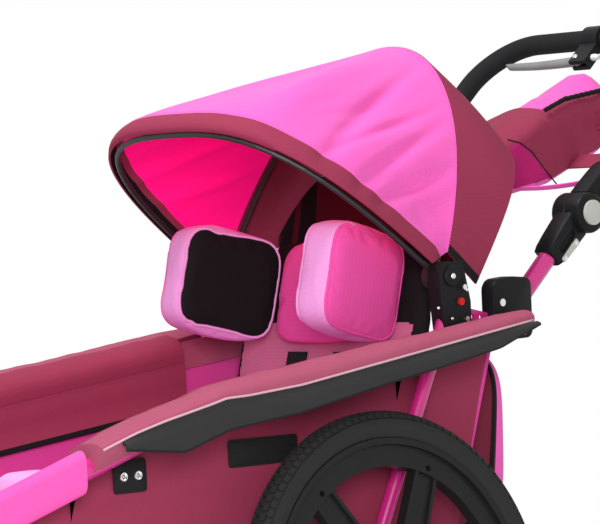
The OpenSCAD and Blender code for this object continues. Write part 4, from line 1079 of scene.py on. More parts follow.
@dataclass
class Tub:
    """Fabric tub: side panels, floor, seat, footplate ribs and bag behind it."""

    # Floor line along and up, from the top of the back to the nose
    path: tuple = ((262, 545), (165, 250), (-395, 250), (-430, 196), (-555, 186), (-640, 310),
                   (-734.56, 351.87))
    floor: float = 6.0
    inner: float = 214.7
    nose_half: float = 150.0
    # Side panels
    half: float = 223.0
    side_inset: float = 3.2
    side_thick: float = 3.4
    side_swell: float = 3.0
    side_dent: float = 1.2
    side_rear: float = 256.0
    side_ease: float = 0.5
    side_drop: float = 20.0
    side_flat: tuple = (0.9, 0.4)
    side_area: float = 0.25
    # Collars between the rail pads' ends and the backrest
    collar_x: float = 213.2
    collar_ends: tuple = (92, 215)
    collar_edges: tuple = (-26, 12)
    collar_thick: float = 1.6
    collar_flat: tuple = (0.252, 0.044)
    # Seat and pommel: sizes and places
    seat: tuple = (390, 443, 46)
    seat_at: tuple = (0, -163.5, 273.3)
    pommel: tuple = (112, 92, 134)
    pommel_at: tuple = (0, -322, 363.6)
    # Patches: place along and up, width and height; then their face, stitch line and snaps
    patches: tuple = ((-374, 412, 50, 40), (-196, 428, 112, 34))
    patch_faces: tuple = (223.3, 225.2)
    stitch_inset: float = 3.0
    snap_x: float = 225.3
    snap_ring: tuple = ((2.4, 0), (2.4, 1.2), (3.4, 1.2), (4.2, 2.4), (5.2, 2.4), (6, 1.2), (6, 0))
    snap_stud: tuple = ((0.05, 0), (0.05, 1.6), (1.4, 1.2), (1.6, 0))
    # Bag behind the tub: half width, middle height, half height and rear face
    bag_half: float = 184.0
    bag_middle: float = 424.0
    bag_high: float = 124.0
    bag_rear: float = 335.0
    bag_gap: float = 6.7
    bag_sag: float = 4.0
    bag_power: float = 4.5
    bag_around: int = 64
    bag_layers: tuple = ((-0.5, 0.9), (-0.46, 0.97), (-0.3, 1), (0, 1), (0.2, 1), (0.3, 0.99), (0.4, 0.95),
                         (0.46, 0.9), (0.5, 0.8))

    def corners(self) -> list[Vector]:
        """Returns: mitred way across the floor at each corner of its line."""
        ways = []
        for a, b in zip(self.path, self.path[1:]):
            d = (Vector((0, *b)) - Vector((0, *a))).normalized()
            ways.append(Vector((0, d[2], -d[1])))
        made = [ways[0]]
        for m, n in zip(ways, ways[1:]):
            made.append((m + n) / (1 + m.dot(n)))
        return made + [ways[-1]]

    def build(self) -> None:
        """Builds the floor, the side panels and the collars."""
        tops = [Vector((0, *p)) for p in self.path]
        lows = [top - way * self.floor for top, way in zip(tops, self.corners())]
        rings = []
        for top, low in zip(tops, lows):
            half = self.nose_half if top is tops[-1] else self.inner
            corners = ((-half, top), (half, top), (half, low), (-half, low))
            rings.append([Vector((x, p[1], p[2])) for x, p in corners])
        fit("tub_floor_cloth", loft(rings), TUB_LINING, 30, "frame", "tub_floor")
        self.build_sides(lows[1:-1])
        self.build_collars()

    def build_sides(self, lows: Points) -> None:
        """Builds the side panels. Args: lows: the floor's underside along the panels."""
        def low_at(y: float) -> float:
            for a, b in zip(lows, lows[1:]):
                if b[1] <= y <= a[1]:
                    return mix(a[2], b[2], (a[1] - y) / (a[1] - b[1]))
            if y < lows[0][1]:
                return lows[-1][2]
            high = rail_height(self.side_rear) - self.side_drop
            return mix(lows[0][2], high, (y - lows[0][1]) / (self.side_rear - lows[0][1]))

        def side(s: float, v: float, depth: float) -> Vector:
            y = mix(self.side_rear - self.side_ease, lows[-1][1], s)
            z = mix(low_at(y), rail_height(y) - self.side_drop, v)
            full = math.sin(math.pi * s) ** 0.5 * math.sin(math.pi * v) ** 0.6
            dent = self.side_dent * noise.noise(Vector((y / 120, z / 90, 3.7)))
            swell = 0.0 if depth else self.side_swell
            return Vector((self.half - self.side_inset + (swell + dent) * full - depth, y, z))

        def pick(p: Vector, normal: Vector) -> int:
            return 1 if normal.x * math.copysign(1, p[0]) < -0.5 else 0

        made = grid(side, 0, self.side_thick, 110, 24)
        for which in Side:
            obj = piece(f"{which.word}_tub_side", *sided(made, which), (BURGUNDY, TUB_LINING), pick, 50)
            settle(obj, "frame", BURGUNDY, f"{which.word}_side_panel")

    def build_collars(self) -> None:
        """Builds the cloth collars between the rail pads' ends and the backrest."""
        def collar(s: float, v: float, depth: float) -> Vector:
            y = mix(*self.collar_ends, s)
            wave = 0.8 * math.sin(9 * s + 2 * v)
            return Vector((self.collar_x + wave - depth, y, rail_height(y) + mix(*self.collar_edges, v)))

        obj = fit("seat_collars", both(grid(collar, 0, self.collar_thick, 30, 8)), DUSTY, 50, "frame")

    def dress(self) -> None:
        """Adds seat, pommel, footplate ribs, patches, snaps and the bag behind."""
        for name, size, at, node in (("seat_pad", self.seat, self.seat_at, "seat_cushion"),
                                     ("pommel_pad", self.pommel, self.pommel_at, "pommel")):
            made = padding(size[0] - 4, size[1] - 4, size[2] - 7)
            obj = stuffed(name, moved(made, Matrix.Translation(at)), (LIGHT_PINK,), Stuffing())
            settle(obj, "frame", LIGHT_PINK, node)
        self.dress_footplate()
        self.dress_patches()
        self.dress_bag()

    def dress_footplate(self) -> None:
        """Adds grip ribs on the footplate."""
        a, b = (Vector((0, *p)) for p in self.path[4:6])
        way = (b - a).normalized()
        out = Vector((0, way[2], -way[1]))
        across = Vector((1, 0, 0))
        spots = [Spot(mix(a, b, share) + out * 9.6, out, across) for share in steps(0.16, 0.84, 8)]
        settle(repeat("footplate_ribs", spots, Unit.BLOCK, (270, 4, 1.4), PLASTIC), "frame", PLASTIC)

    def dress_patches(self) -> None:
        """Adds the snap tab, the touch-fastener patch, and stitches round both."""
        shapes = []
        spots = []
        inset = self.stitch_inset
        face = self.patch_faces[1]
        for y, z, wide, high in self.patches:
            corners = [(y, z), (y + wide, z), (y + wide, z + high), (y, z + high)]
            shapes.append(plate(rounded(corners, 5), *self.patch_faces, 0.7))
            ends = [(0, 0), (1, 0), (1, 1), (0, 1), (0, 0)]
            seam = [Vector((face, mix(y + inset, y + wide - inset, s), mix(z + inset, z + high - inset, t)))
                    for s, t in ends]
            spots += stitch_spots(seam, lambda p: Vector((1, 0, 0)), 4)
        fit("side_patch_webs", both(joined(*shapes)), WEBBING, 40, "frame", "side_patches")
        stitches = repeat("side_patch_stitches", both_spots(spots), Unit.BLOCK, (2.6, 0.6, 0.4), BLACK_CLOTH)
        settle(stitches, "frame", WEBBING)
        rings = []
        y, z, wide, high = self.patches[0]
        for share in (0.28, 0.72):
            at = across_at(self.snap_x, y + wide * share, z + high / 2)
            rings += [lathe(self.snap_ring, 40, at), lathe(self.snap_stud, 24, at)]
        fit("snap_rings", both(joined(*rings)), STEEL, 45, "frame", "snap_studs")

    def bag_skin(self, share: float, depth: float, a: float) -> Vector:
        """Args: share: how full; depth: front to rear, -0.5 to 0.5; a: angle round it. Returns: a point."""
        (high_y, high_z), (low_y, low_z) = self.path[:2]
        z = self.bag_middle + self.bag_high * share * signed_power(math.sin(a), 2 / self.bag_power)
        wall = mix(low_y, high_y, (z - low_z) / (high_z - low_z)) + self.bag_gap
        sag = self.bag_sag * math.sin(3 * a + 2 * depth) * max(0, depth)
        y = mix(wall, self.bag_rear, depth + 0.5) - abs(sag) * 0.5
        return Vector((self.bag_half * share * signed_power(math.cos(a), 2 / self.bag_power), y, z))

    def dress_bag(self) -> None:
        """Adds the bag behind the tub, with its pink edge and its trim."""
        around = self.bag_around
        points, faces = loft([[self.bag_skin(share, depth, a) for a in circle(around)]
                              for depth, share in self.bag_layers])
        tints = [1 if 4 * around <= k < 6 * around else 0 for k in range(len(faces))]
        obj = piece("rear_bag_body", points, faces, (DARK_BURGUNDY, PINK), None, 0, tints)
        refine(obj)
        settle(obj, "frame", DARK_BURGUNDY, "rear_bag")
        trim = [self.bag_skin(0.995, 0.12, a) for a in circle(96)]
        fit("rear_bag_trim", tube(trim, 4, 8, True), BLACK_CLOTH, 0, "frame")


@dataclass
class Rails:
    """Rail pads, mud flaps and tube sleeves along the side rails."""

    x: float = 258.0
    bore: float = 13.7
    # Pad: reach outward and up, inner face, its drop and thickness, ends and split
    out: float = 33.0
    up: float = 24.0
    inner: float = 52.0
    drop: float = 80.0
    wall: float = 8.0
    front: float = -437.0
    rear: float = 279.0
    split: float = 90.0
    # Heights along the pad: its top, its outer edge and the flap's edge, as place and share
    rises: tuple = ((0, 1.42), (0.06, 1.33), (0.14, 1.17), (0.22, 0.97), (1, 1))
    lows: tuple = ((0, 1), (0.07, 0.93), (0.13, 0.78), (0.18, 0.6), (0.23, 0.42), (0.31, 0.2), (0.43, 0.05),
                   (1, 0.35))
    flap_lows: tuple = ((0.03, -0.5), (0.05, -0.3), (0.16, 0.9), (0.26, 1), (0.42, 1.03), (0.65, 0.76),
                        (0.9, 0.5), (0.97, 0.1), (1, -0.1))
    # Section of the pad in shares: its top, its inner round, and the inner face with seam, hem and finish
    top_shares: tuple = ((1.0, 0), (1.0, 0.35), (0.92, 0.62), (0.78, 0.8), (0.58, 0.93), (0.36, 1.0),
                         (0.16, 0.98), (0, 0.95))
    round_shares: tuple = ((-0.25, 0.95), (-0.45, 0.88), (-0.64, 0.75), (-0.8, 0.55), (-0.9, 0.33),
                           (-0.95, 0.1))
    face_shares: tuple = ((-0.985, -0.17, 2), (-0.965, -0.2, 2), (-0.99, -0.23, 2), (-1, -0.55, 2),
                          (-1, -0.885, 2), (-1.02, -0.9, 1), (-1.02, -0.99, 1), (-0.95, -1.01, 1))
    # Mud flaps and sleeves
    flap_front: float = -408.0
    flap_drop: float = 29.0
    flap_thick: float = 2.4
    flap_tuck: tuple = (4.7, 20.1)
    flap_flat: tuple = (1.38, 0.05)
    sleeve_ends: tuple = (-447, -640)
    sleeve: tuple = (14.1, 26)

    def place(self, y: float) -> float:
        """Args: y: along the rail. Returns: the share along the pad."""
        return (y - self.front) / (self.rear - self.front)

    def draw(self, y: float) -> float:
        """Args: y: along the rail. Returns: how full the pad is there."""
        s = self.place(y)
        return mix(0.88, 1.0, math.sin(math.pi / 2 * min(1.0, min(s, 1 - s) / 0.1)))

    def edge(self, y: float) -> float:
        """Args: y: along the rail. Returns: height of the pad's outer edge above the rail's middle."""
        return self.up * table(self.place(y), self.lows)

    def section(self, y: float, long: bool) -> list[tuple]:
        """Args: y: along the rail; long: with the inner face. Returns: outline across and up, and finish."""
        i, d, wall = self.inner, self.drop, self.wall
        low, high = self.edge(y), self.up * table(self.place(y), self.rises)
        made = [(across * self.out, mix(low, high, share), 0) for across, share in self.top_shares]
        if long:
            made += [(across * i, share * high, 2) for across, share in self.round_shares]
            made += [(across * i, share * d, finish) for across, share, finish in self.face_shares]
            made += [(wall - i, -d, 1), (wall - i, -2 * wall, 2), (2 * wall - i, -wall, 2)]
            made.append((-self.bore, -6, 2))
        else:
            made.append((-12.5, 0.55 * high, 0))
        for degrees in steps(200 if long else 140, -20, 10):
            a = math.radians(degrees)
            made.append((self.bore * math.cos(a), self.bore * math.sin(a), 0))
        return made

    def pad(self, y0: float, y1: float, count: int, long: bool) -> tuple[Points, list, list]:
        """Args: y0, y1: ends; count: steps; long: with inner face. Returns: points, faces, finishes."""
        rings = []
        tints = []
        for k, y in enumerate(steps(y0, y1, count)):
            share = self.draw(y)
            ring = []
            for across, up, tint in self.section(y, long):
                pucker = 0.0
                if up > -1 and abs(across) + up > 20:
                    pucker = 1.1 * noise.noise(Vector((across / 16, y / 21, up / 16)))
                    pucker += 1.5 * noise.noise(Vector((across / 60, y / 70, 4.1)))
                ring.append(Vector((self.x + across * share, y, rail_height(y) + (up + pucker) * share)))
                if k < count:
                    tints.append(tint)
            rings.append(ring)
        points, faces = loft(rings)
        return points, faces, tints + [0] * (len(faces) - len(tints))

    def build(self) -> None:
        """Builds the pads, flaps and sleeves."""
        long = self.pad(self.front, self.split, 90, True)
        short = self.pad(self.split + 0.3, self.rear, 34, False)
        made = joined(long[:2], short[:2])
        finishes = (DUSTY, BLACK_CLOTH, BURGUNDY)
        for side in Side:
            obj = piece(f"{side.word}_pad_cloth", *sided(made, side), finishes, None, 50, long[2] + short[2])
            settle(obj, "frame", DUSTY, f"{side.word}_rail_pad")
        flaps = both(grid(self.flap, 0, self.flap_thick, 110, 10))
        obj = fit("mud_flap_cloth", flaps, GREY_COAT, 50, "frame", "mud_flaps")
        self.build_sleeves()

    def flap(self, s: float, v: float, depth: float) -> Vector:
        """Args: s: along, front to rear; v: down; depth: inward. Returns: the point."""
        y = mix(self.flap_front, self.rear, s)
        edge = self.edge(y)
        tuck = max(0.0, (edge + self.flap_tuck[0]) / self.flap_tuck[1]) * depth
        top = rail_height(y) + self.draw(y) * edge - 0.3 - tuck
        low = min(top - 2.5, rail_height(y) - self.flap_drop * table(self.place(y), self.flap_lows))
        wave = (2 * math.sin(6 * math.pi * s) + 1.2 * noise.noise(Vector((y / 45, 2.2, 0)))) * v
        belly = 3.0 * math.sin(math.pi * v)
        return Vector((self.x + self.out + 7 * v + wave + belly - depth, y, mix(top, low, v)))

    def build_sleeves(self) -> None:
        """Builds the flat sleeves on the front tubes."""
        half, high = self.sleeve
        rings = []
        for y in steps(*self.sleeve_ends, 12):
            ring = []
            for a in circle(28):
                wide = half - 1.5 * math.cos(a) ** 8
                ring.append(Vector((self.x + wide * signed_power(math.cos(a), 0.8), y,
                                    rail_height(y) + high * signed_power(math.sin(a), 0.75))))
            rings.append(ring)
        obj = fit("tube_sleeve_cloth", both(loft(rings)), HOT_PINK, 55, "frame", "tube_sleeves")

    def dress(self) -> None:
        """Adds the pads' piping and seam stitches, and the flaps' binding."""
        edge = []
        for y in steps(self.front + 2, self.rear - 2, 120):
            share = self.draw(y)
            edge.append(Vector((self.x + self.out * share + 0.6, y,
                                rail_height(y) + self.edge(y) * share + 1.2)))
        fit("rail_pad_piping", both(tube(edge, 1.5, 8)), PALE_PIPING, 0, "frame")
        low = [self.flap(s, 0.97, 1.2) for s in steps(0, 1, 100)]
        fit("mud_flap_binding", both(tube(low, 1.8, 8)), WEBBING, 0, "frame")
        seam = [Vector((self.x - 0.99 * self.inner, y, rail_height(y) - 0.24 * self.drop))
                for y in steps(self.front + 40, self.split - 4, 90)]
        spots = both_spots(stitch_spots(seam, lambda p: Vector((-1, 0, 0)), 4.5))
        settle(repeat("rail_pad_stitches", spots, Unit.BLOCK, (2.8, 0.7, 0.5), BURGUNDY), "frame", BURGUNDY)


@dataclass
class Wheel:
    """A wheel's tyre and its tread blocks; the rim keeps its own node."""

    name: str
    radius: float
    width: float
    seat: float
    at: Matrix
    blocks: int
    gap: float = 0.3
    wall: float = 4.0
    shoulder: float = 62.0
    groove: float = 2.0
    rows: tuple = (-50, -26, 0, 26, 50)
    block: tuple = (0.68, 7.2, 2.8)

    def build(self) -> None:
        """Builds the tyre."""
        middle, half = self.radius - self.width / 2, self.width / 2
        outline = []
        for degrees in steps(-146, 146, 48):
            side = abs(degrees) > self.shoulder
            ridge = 0.5 * side * math.cos(6 * math.radians(degrees)) ** 8
            outline.append((degrees, half - self.groove * (not side) + ridge - 0.6))
        outline += [(degrees, half - self.wall) for degrees in steps(140, -140, 12)]
        profile = []
        for degrees, r in outline:
            a = math.radians(degrees)
            profile.append((max(self.seat + self.gap, middle + r * math.cos(a)), r * math.sin(a)))
        shape = lathe(profile, 160, self.at)
        fit(f"{self.name}_tyre_body", shape, RUBBER, 50, f"{self.name}_wheel", f"{self.name}_tyre")

    def dress(self) -> None:
        """Adds the tread blocks."""
        middle, half = self.radius - self.width / 2, self.width / 2
        turn = self.at.to_3x3()
        share, wide, high = self.block
        spots = []
        for n, lean in enumerate(self.rows):
            a = math.radians(lean)
            for k in range(self.blocks):
                t = 2 * math.pi * (k + 0.5 * (n % 2)) / self.blocks
                out = Vector((math.cos(a) * math.cos(t), math.cos(a) * math.sin(t), math.sin(a)))
                along = Vector((-math.sin(t), math.cos(t), 0))
                core = Vector((middle * math.cos(t), middle * math.sin(t), 0))
                spots.append(Spot(self.at @ (core + out * (half - 1.9)), turn @ out, turn @ along))
        step = 2 * math.pi * self.radius / self.blocks
        obj = repeat(f"{self.name}_tread", spots, Unit.BLOCK, (share * step, wide, high), RUBBER)
        settle(obj, f"{self.name}_wheel", RUBBER)


@dataclass
class PushBar:
    """Angle hinges, brake lever and organiser bag of the push bar."""

    origin: tuple = (0.0, 450.372, 718.113)
    angle: float = 42.6
    x: float = 208.0
    # Hinge: hub, its half width and recess, and the arms' half width, tube end and long slot
    hub: float = 28.0
    half: float = 26.0
    split: float = 0.15
    recess: float = 17.2
    arm_half: float = 16.5
    arm_round: float = 28.9
    tail: tuple = ((40, -20.5), (62, -18.5), (80, -16.0), (88, -13.0))
    root_half: float = 15.5
    root_end: tuple = ((8, 19), (36, 19), (36, -19), (8, -19))
    slot_end: tuple = ((36, 5.5), (74, 5.5), (74, -5.5), (36, -5.5))
    slot_floor: float = 13.0
    plate_outline: tuple = ((-40, -8.2), (-80, -8.2), (-80, -15.5), (-40, -18))
    plate_faces: tuple = (16.2, 18.2)
    screws: tuple = ((18.5, -46, -12.4), (18.5, -75, -12.4))
    # Lever: place, ends, half widths and half thicknesses; then its pin and the cable's end fitting
    lever_at: tuple = (-8, 322, 0)
    lever_ends: tuple = (-6, -146)
    lever_wide: tuple = (8.0, 5.0)
    lever_thick: tuple = (7.0, 5.5)
    lever_tip: float = 0.93
    eye: tuple = ((3.2, -2.4), (8, -2.4), (8, 2.4), (3.2, 2.4))
    pin: tuple = ((0.05, 9), (0.05, 11.6), (3.4, 11.4), (4.4, 10.2), (4.4, 9))
    ferrule_at: tuple = (16.4, 328, 0)
    ferrule: tuple = ((2.3, 0), (5, 0), (5, 7), (4, 8.5), (3.4, 14), (2.3, 14))
    # Organiser: frame on the handle, half width, half length, and heights along and across it
    pouch_origin: tuple = (0, 125, 24.5)
    pouch_turn: float = -20.0
    pouch_half: float = 113.0
    pouch_long: float = 131.0
    pouch_power: float = 6.0
    pouch_lip: float = 108.0
    near_tops: tuple = ((-131, 34), (-100, 44), (-30, 50), (30, 48), (104, 30), (131, 20))
    across_tops: tuple = ((-115, 0.3), (-30, 0.4), (40, 1), (115, 1))
    lifts: tuple = ((-20, 0), (60, 6), (131, 34))
    across_lifts: tuple = ((-40, 0), (20, 1), (70, 1), (104, 0))
    bottoms: tuple = ((-131, -28), (-110, -36), (-40, -52), (60, -52), (131, -40))
    cover_edges: tuple = ((-52, -40), (-23, -53), (9, -65), (30, -81), (46, -104))
    # Straps to the legs: places along, half width and faces; ties to the hinges: their ends
    straps: tuple = (118, 196)
    strap_half: float = 13.0
    strap_faces: tuple = (-13.7, -11.3)
    strap_ends: tuple = (104, 208)
    tie_ends: tuple = ((88, 12, 40), (190, 47, 12))
    tie_section: tuple = ((-1, -3.5), (1, -3.5), (1, 3.5), (-1, 3.5))

    def frame_at(self) -> Matrix:
        """Returns: the handle's frame: X across, Y along the bar."""
        return on_frame(self.origin, self.angle)

    def hinge_at(self) -> Matrix:
        """Returns: the left hinge's frame."""
        return self.frame_at() @ Matrix.Translation((self.x, 0, 0))

    def arm(self, way: int) -> Shell:
        """Args: way: +1 up the bar, -1 down. Returns: the hinge's arm."""
        outline = []
        for degrees in steps(46, -46, 12):
            a = math.radians(degrees)
            outline.append((way * self.arm_round * math.cos(a), self.arm_round * math.sin(a)))
        tail = [(way * y, z) for y, z in self.tail]
        outline += tail + [(y, -z) for y, z in reversed(tail)]
        return plate(outline, -self.arm_half, self.arm_half, 5)

    def root(self, way: int, x0: float, x1: float) -> Shell:
        """Args: way: which arm; x0, x1: the hub half's extent. Returns: what joins arm and hub."""
        return plate([(way * y, z) for y, z in self.root_end], x0, x1, 0.5)

    def hub_half(self, x0: float, x1: float) -> Shell:
        """Args: x0: the face at the split; x1: the outer face. Returns: a hub half with an eased edge."""
        ease = math.copysign(5, x1 - x0)
        profile = [(0.05, x0), (self.hub - 1, x0), (self.hub, x0 + 0.2 * ease), (self.hub, x1 - 1.1 * ease),
                   (self.hub - 1.4, x1 - 0.4 * ease), (self.hub - 5, x1), (self.recess, x1),
                   (self.recess, x0 + ease), (0.05, x0 + ease)]
        return lathe(profile, 72, turned(90, "Y"))

    def slot(self, way: int) -> list[tuple]:
        """Args: way: which arm. Returns: the outline of its long slot."""
        return rounded([(way * y, z) for y, z in self.slot_end], 5.4, 6)

    def carve(self, obj: bpy.types.Object, way: int, side: Side) -> None:
        """Cuts the long slot in an arm's outer face. Args: obj: arm; way: which arm; side: its side."""
        made = moved(plate(self.slot(way), self.slot_floor, 24, 0.5), self.hinge_at())
        tool = piece("slot_tool", *sided(made, side), (PLASTIC,))
        cut = obj.modifiers.new("slot", "BOOLEAN")
        cut.object = tool
        cut.operation = "DIFFERENCE"
        bake(obj)
        bpy.data.objects.remove(tool)
        dress_faces(obj, (PLASTIC,), None, 35)

    def build(self) -> None:
        """Builds the hinges."""
        at = self.hinge_at()
        for side in Side:
            for way, body, node in ((-1, "pushbar", "hinge_bases"), (1, "handle", "hinge_caps")):
                arm = sided(moved(self.arm(way), at), side)
                obj = piece(f"{side.word}_{node}_arm", *arm, (PLASTIC,), None, 35)
                self.carve(obj, way, side)
                settle(obj, body, PLASTIC, node)
                start = -way * self.split
                shape = joined(self.hub_half(start, -way * self.half),
                               self.root(way, start, -way * self.root_half))
                fit(f"{side.word}_{node}_hub", sided(moved(shape, at), side), PLASTIC, 35, body, node)

    def dress(self) -> None:
        """Adds the plates and screws on the lower arms, near-black plates in the slots as painted shade, the
        lever and the organiser.
        """
        at = self.hinge_at()
        shape = moved(plate(rounded(self.plate_outline, 3), *self.plate_faces, 0.6), at)
        fit("hinge_plates", both(shape), GREY, 40, "pushbar")
        for way, body in ((-1, "pushbar"), (1, "handle")):
            # Painted shade: a near-black plate at the bottom of each long slot stands for the shadow deep
            # inside it.
            floor = moved(plate(self.slot(way), self.slot_floor + 0.05, self.slot_floor + 0.6, 0.2), at)
            settle(piece(f"{body}_slot_floors", *both(floor), (BLACK_CLOTH,), None, 40), body, PLASTIC)
        spots = [Spot(at @ Vector(p), Vector((1, 0, 0)), Vector((0, 0, 1))) for p in self.screws]
        screws = repeat("hinge_plate_screws", both_spots(spots), Unit.DISC, (3.0, 3.0, 1.4), STEEL)
        settle(screws, "pushbar", STEEL)
        self.dress_lever()
        self.dress_bag()
        self.dress_straps()

    def dress_lever(self) -> None:
        """Adds the brake lever, its pin and the cable's end fitting."""
        at = self.frame_at() @ Matrix.Translation(self.lever_at)
        rings = []
        for s in steps(0, 1, 24):
            wide, thick = mix(*self.lever_wide, s), mix(*self.lever_thick, s)
            if s >= self.lever_tip:
                wide *= math.sqrt(max(0.02, 1 - ((s - self.lever_tip) / 0.07) ** 2))
            middle = Vector((mix(*self.lever_ends, s), -3.0 * math.sin(math.pi * s), 0))
            rings.append([at @ (middle + Vector((0, wide * math.cos(a), thick * math.sin(a))))
                          for a in circle(20)])
        blade = joined(loft(rings), lathe(self.eye, 40, at))
        fit("brake_lever_blade", blade, ALLOY, 50, "brake_lever", "brake_lever")
        fit("lever_pin_head", lathe(self.pin, 24, at), STEEL, 45, "handle")
        shape = lathe(self.ferrule, 32, self.frame_at() @ across_at(*self.ferrule_at))
        fit("cable_ferrule", shape, WHITE, 40, "handle")

    def pouch_top(self, along: float, across: float) -> float:
        """Args: along, across: place on the organiser. Returns: height of its top there."""
        lift = table(along, self.lifts) * table(across, self.across_lifts)
        return table(along, self.near_tops) * table(across, self.across_tops) + lift

    def pouch_skin(self, along: float, turn: float, share: float) -> Vector:
        """Args: along: place; turn: round the section; share: how full. Returns: the organiser's point."""
        x = self.pouch_half * signed_power(math.cos(turn), 2 / self.pouch_power) * mix(0.8, 1, share)
        low, high = table(along, self.bottoms), self.pouch_top(along, x)
        z = (low + high) / 2 + (high - low) / 2 * signed_power(math.sin(turn), 2 / self.pouch_power) * share
        crumple = 1.6 * noise.noise(Vector((x / 40, along / 34, z / 30)))
        return Vector((x + crumple, along, z + crumple))

    def dress_bag(self) -> None:
        """Adds the organiser bag between the handle's legs, and its bindings."""
        at = self.frame_at() @ on_frame(self.pouch_origin, self.pouch_turn)
        back = at.inverted()
        lip = self.pouch_lip
        rings = []
        for along in steps(-self.pouch_long, self.pouch_long, 66):
            end = min(1.0, (self.pouch_long - abs(along)) / 22)
            share = mix(0.55, 1.0, math.sqrt(max(0.0, 1 - (1 - end) ** 2)))
            rings.append([at @ self.pouch_skin(along, a, share) for a in circle(80)])

        def pick(p: Vector, normal: Vector) -> int:
            q = back @ p
            x, along, up = abs(q[0]), q[1], q[2]
            if up < table(along, self.bottoms) + 11:
                return 0
            if along < table(up, self.cover_edges):
                return 1 if up > 30 or x < 95 else 2
            return 0 if along > 0 and up > self.pouch_top(along, lip) - 3 and x < lip - 2 else 1

        obj = piece("organiser_body", *loft(rings), (PINK, BURGUNDY, SIDE_PINK), pick)
        settle(obj, "handle", PINK, "organiser_bag")
        ruffle = []
        for along in steps(-12, 126, 120):
            wave = 1.6 * math.sin(0.62 * along) + 1.2 * noise.noise(Vector((along / 9, 0, 0)))
            ruffle.append(at @ Vector((lip + wave, along, self.pouch_top(along, lip) + 0.5 * wave)))
        side = self.pouch_half + 0.5
        front = [at @ Vector((side, table(up, self.cover_edges), up)) for up in steps(-50, 44, 40)]
        shape = joined(tube(ruffle, 3.2, 8), tube(front, 1.0, 8))
        fit("organiser_bindings", shape, BLACK_CLOTH, 0, "handle")

    def dress_straps(self) -> None:
        """Adds the straps that hold the organiser to the handle's legs and hinges."""
        at = self.frame_at()
        low, high = self.strap_faces
        half = self.strap_half
        shapes = []
        for y in self.straps:
            outline = [(y - half, low), (y + half, low), (y + half, high), (y - half, high)]
            shapes.append(moved(plate(outline, *self.strap_ends, 0.5), at))
        fit("organiser_straps", both(joined(*shapes)), BURGUNDY, 40, "handle")
        start, end = (Vector(p) for p in self.tie_ends)
        rings = []
        for s in steps(0, 1, 16):
            p = mix(start, end, s) - Vector((0, 0, 4 * math.sin(math.pi * s)))
            rings.append([at @ (p + Vector((0, y, z))) for y, z in self.tie_section])
        fit("organiser_ties", both(loft(rings)), PINK, 40, "handle")


@dataclass
class Brackets:
    """Fold blocks with eased edges, and what is fastened on the hood brackets."""

    # Fold block: faces, low rear corner, size and outline; then its pin
    faces: tuple = (222.0, 245.2)
    block_at: tuple = (246, 556)
    block: tuple = (72, 81.48)
    block_shares: tuple = ((0, 0.07), (0.08, 0), (0.92, 0.02), (1, 0.1), (1, 0.93), (0.92, 1), (0.5, 1.03),
                           (0.11, 1), (0, 0.88))
    pin_at: tuple = (298, 578)
    # Bracket: its face, ribs, disc, rivet and screws
    face: float = 244.6
    ribs: tuple = ((184, 634), (189, 634), (194, 634))
    disc: tuple = ((0.05, 0), (13.6, 0), (13.6, 2), (12.6, 3), (0.05, 3.4))
    rivet_x: float = 247.8
    rivet: tuple = ((0.05, 0), (0.05, 1.4), (2.4, 1.3), (3.6, 0.7), (4.0, 0))
    screws: tuple = ((200, 626), (172, 590), (148, 605))
    screw: tuple = ((0.05, 0), (0.05, 1.0), (1.6, 1.0), (2.1, 0.6), (2.3, 0))

    def build(self) -> None:
        """Builds the fold blocks; the brackets keep their own node."""
        y, z = self.block_at
        outline = rounded([(y + self.block[0] * a, z + self.block[1] * b) for a, b in self.block_shares], 6)
        parts = [plate(outline, *self.faces, 3)]
        for ends, radius in (((223, 193), 5), ((195.2, 192.2), 8)):
            parts.append(tube([Vector((x, *self.pin_at)) for x in ends], radius, 24))
        fit("fold_block_bodies", both(joined(*parts)), PLASTIC, 35, "frame", "fold_blocks")

    def dress(self) -> None:
        """Adds the ribs, pivot discs, rivets and screws of the brackets."""
        out, up = Vector((1, 0, 0)), Vector((0, 0, 1))
        spots = [Spot(Vector((self.face + 0.2, *p)), out, up) for p in self.ribs]
        ribs = repeat("bracket_ribs", both_spots(spots), Unit.BLOCK, (16, 1.6, 1.4), PLASTIC)
        settle(ribs, "frame", PLASTIC)
        disc = lathe(self.disc, 48, across_at(self.face, *HOOD_PIVOT))
        fit("bracket_discs", both(disc), PLASTIC, 40, "frame")
        heads = [lathe(self.rivet, 32, across_at(self.rivet_x, *HOOD_PIVOT))]
        heads += [lathe(self.screw, 24, across_at(self.face, *p)) for p in self.screws]
        fit("bracket_rivets", both(joined(*heads)), STEEL, 45, "frame")


# Finishes of the nodes that are carried over from the frame
NODE_FINISHES: dict[Finish, tuple[str, ...]] = {
    PINK_PAINT: ("left_rail", "right_rail", "nose_tube", "lower_tubes", "rear_uprights", "head_tube",
                 "hood_gussets", "front_fork", "push_tubes"),
    BLACK_PAINT: ("axle_beam", "handle_tube", "main_bow", "front_bow"),
    PLASTIC: ("hood_brackets", "footplate", "brake_clamp"),
    WHEEL_PLASTIC: ("left_rim", "right_rim", "front_rim"),
    STEEL: ("frame_screws", "wheel_axles", "left_bearings", "right_bearings", "front_bearings",
            "front_axle"),
    FOAM: ("handle_grip",),
    WHITE: ("brake_cable",),
    GREY: ("left_hinge_button", "right_hinge_button"),
    RED: ("left_hood_button", "right_hood_button"),
}


def paint_nodes() -> None:
    """Gives the carried-over nodes their finishes."""
    for finish, names in NODE_FINISHES.items():
        for name in names:
            for held in bpy.data.objects[name].material_slots:
                held.material = finish.material()
            LOG.info("%s: %s", name, finish.name)


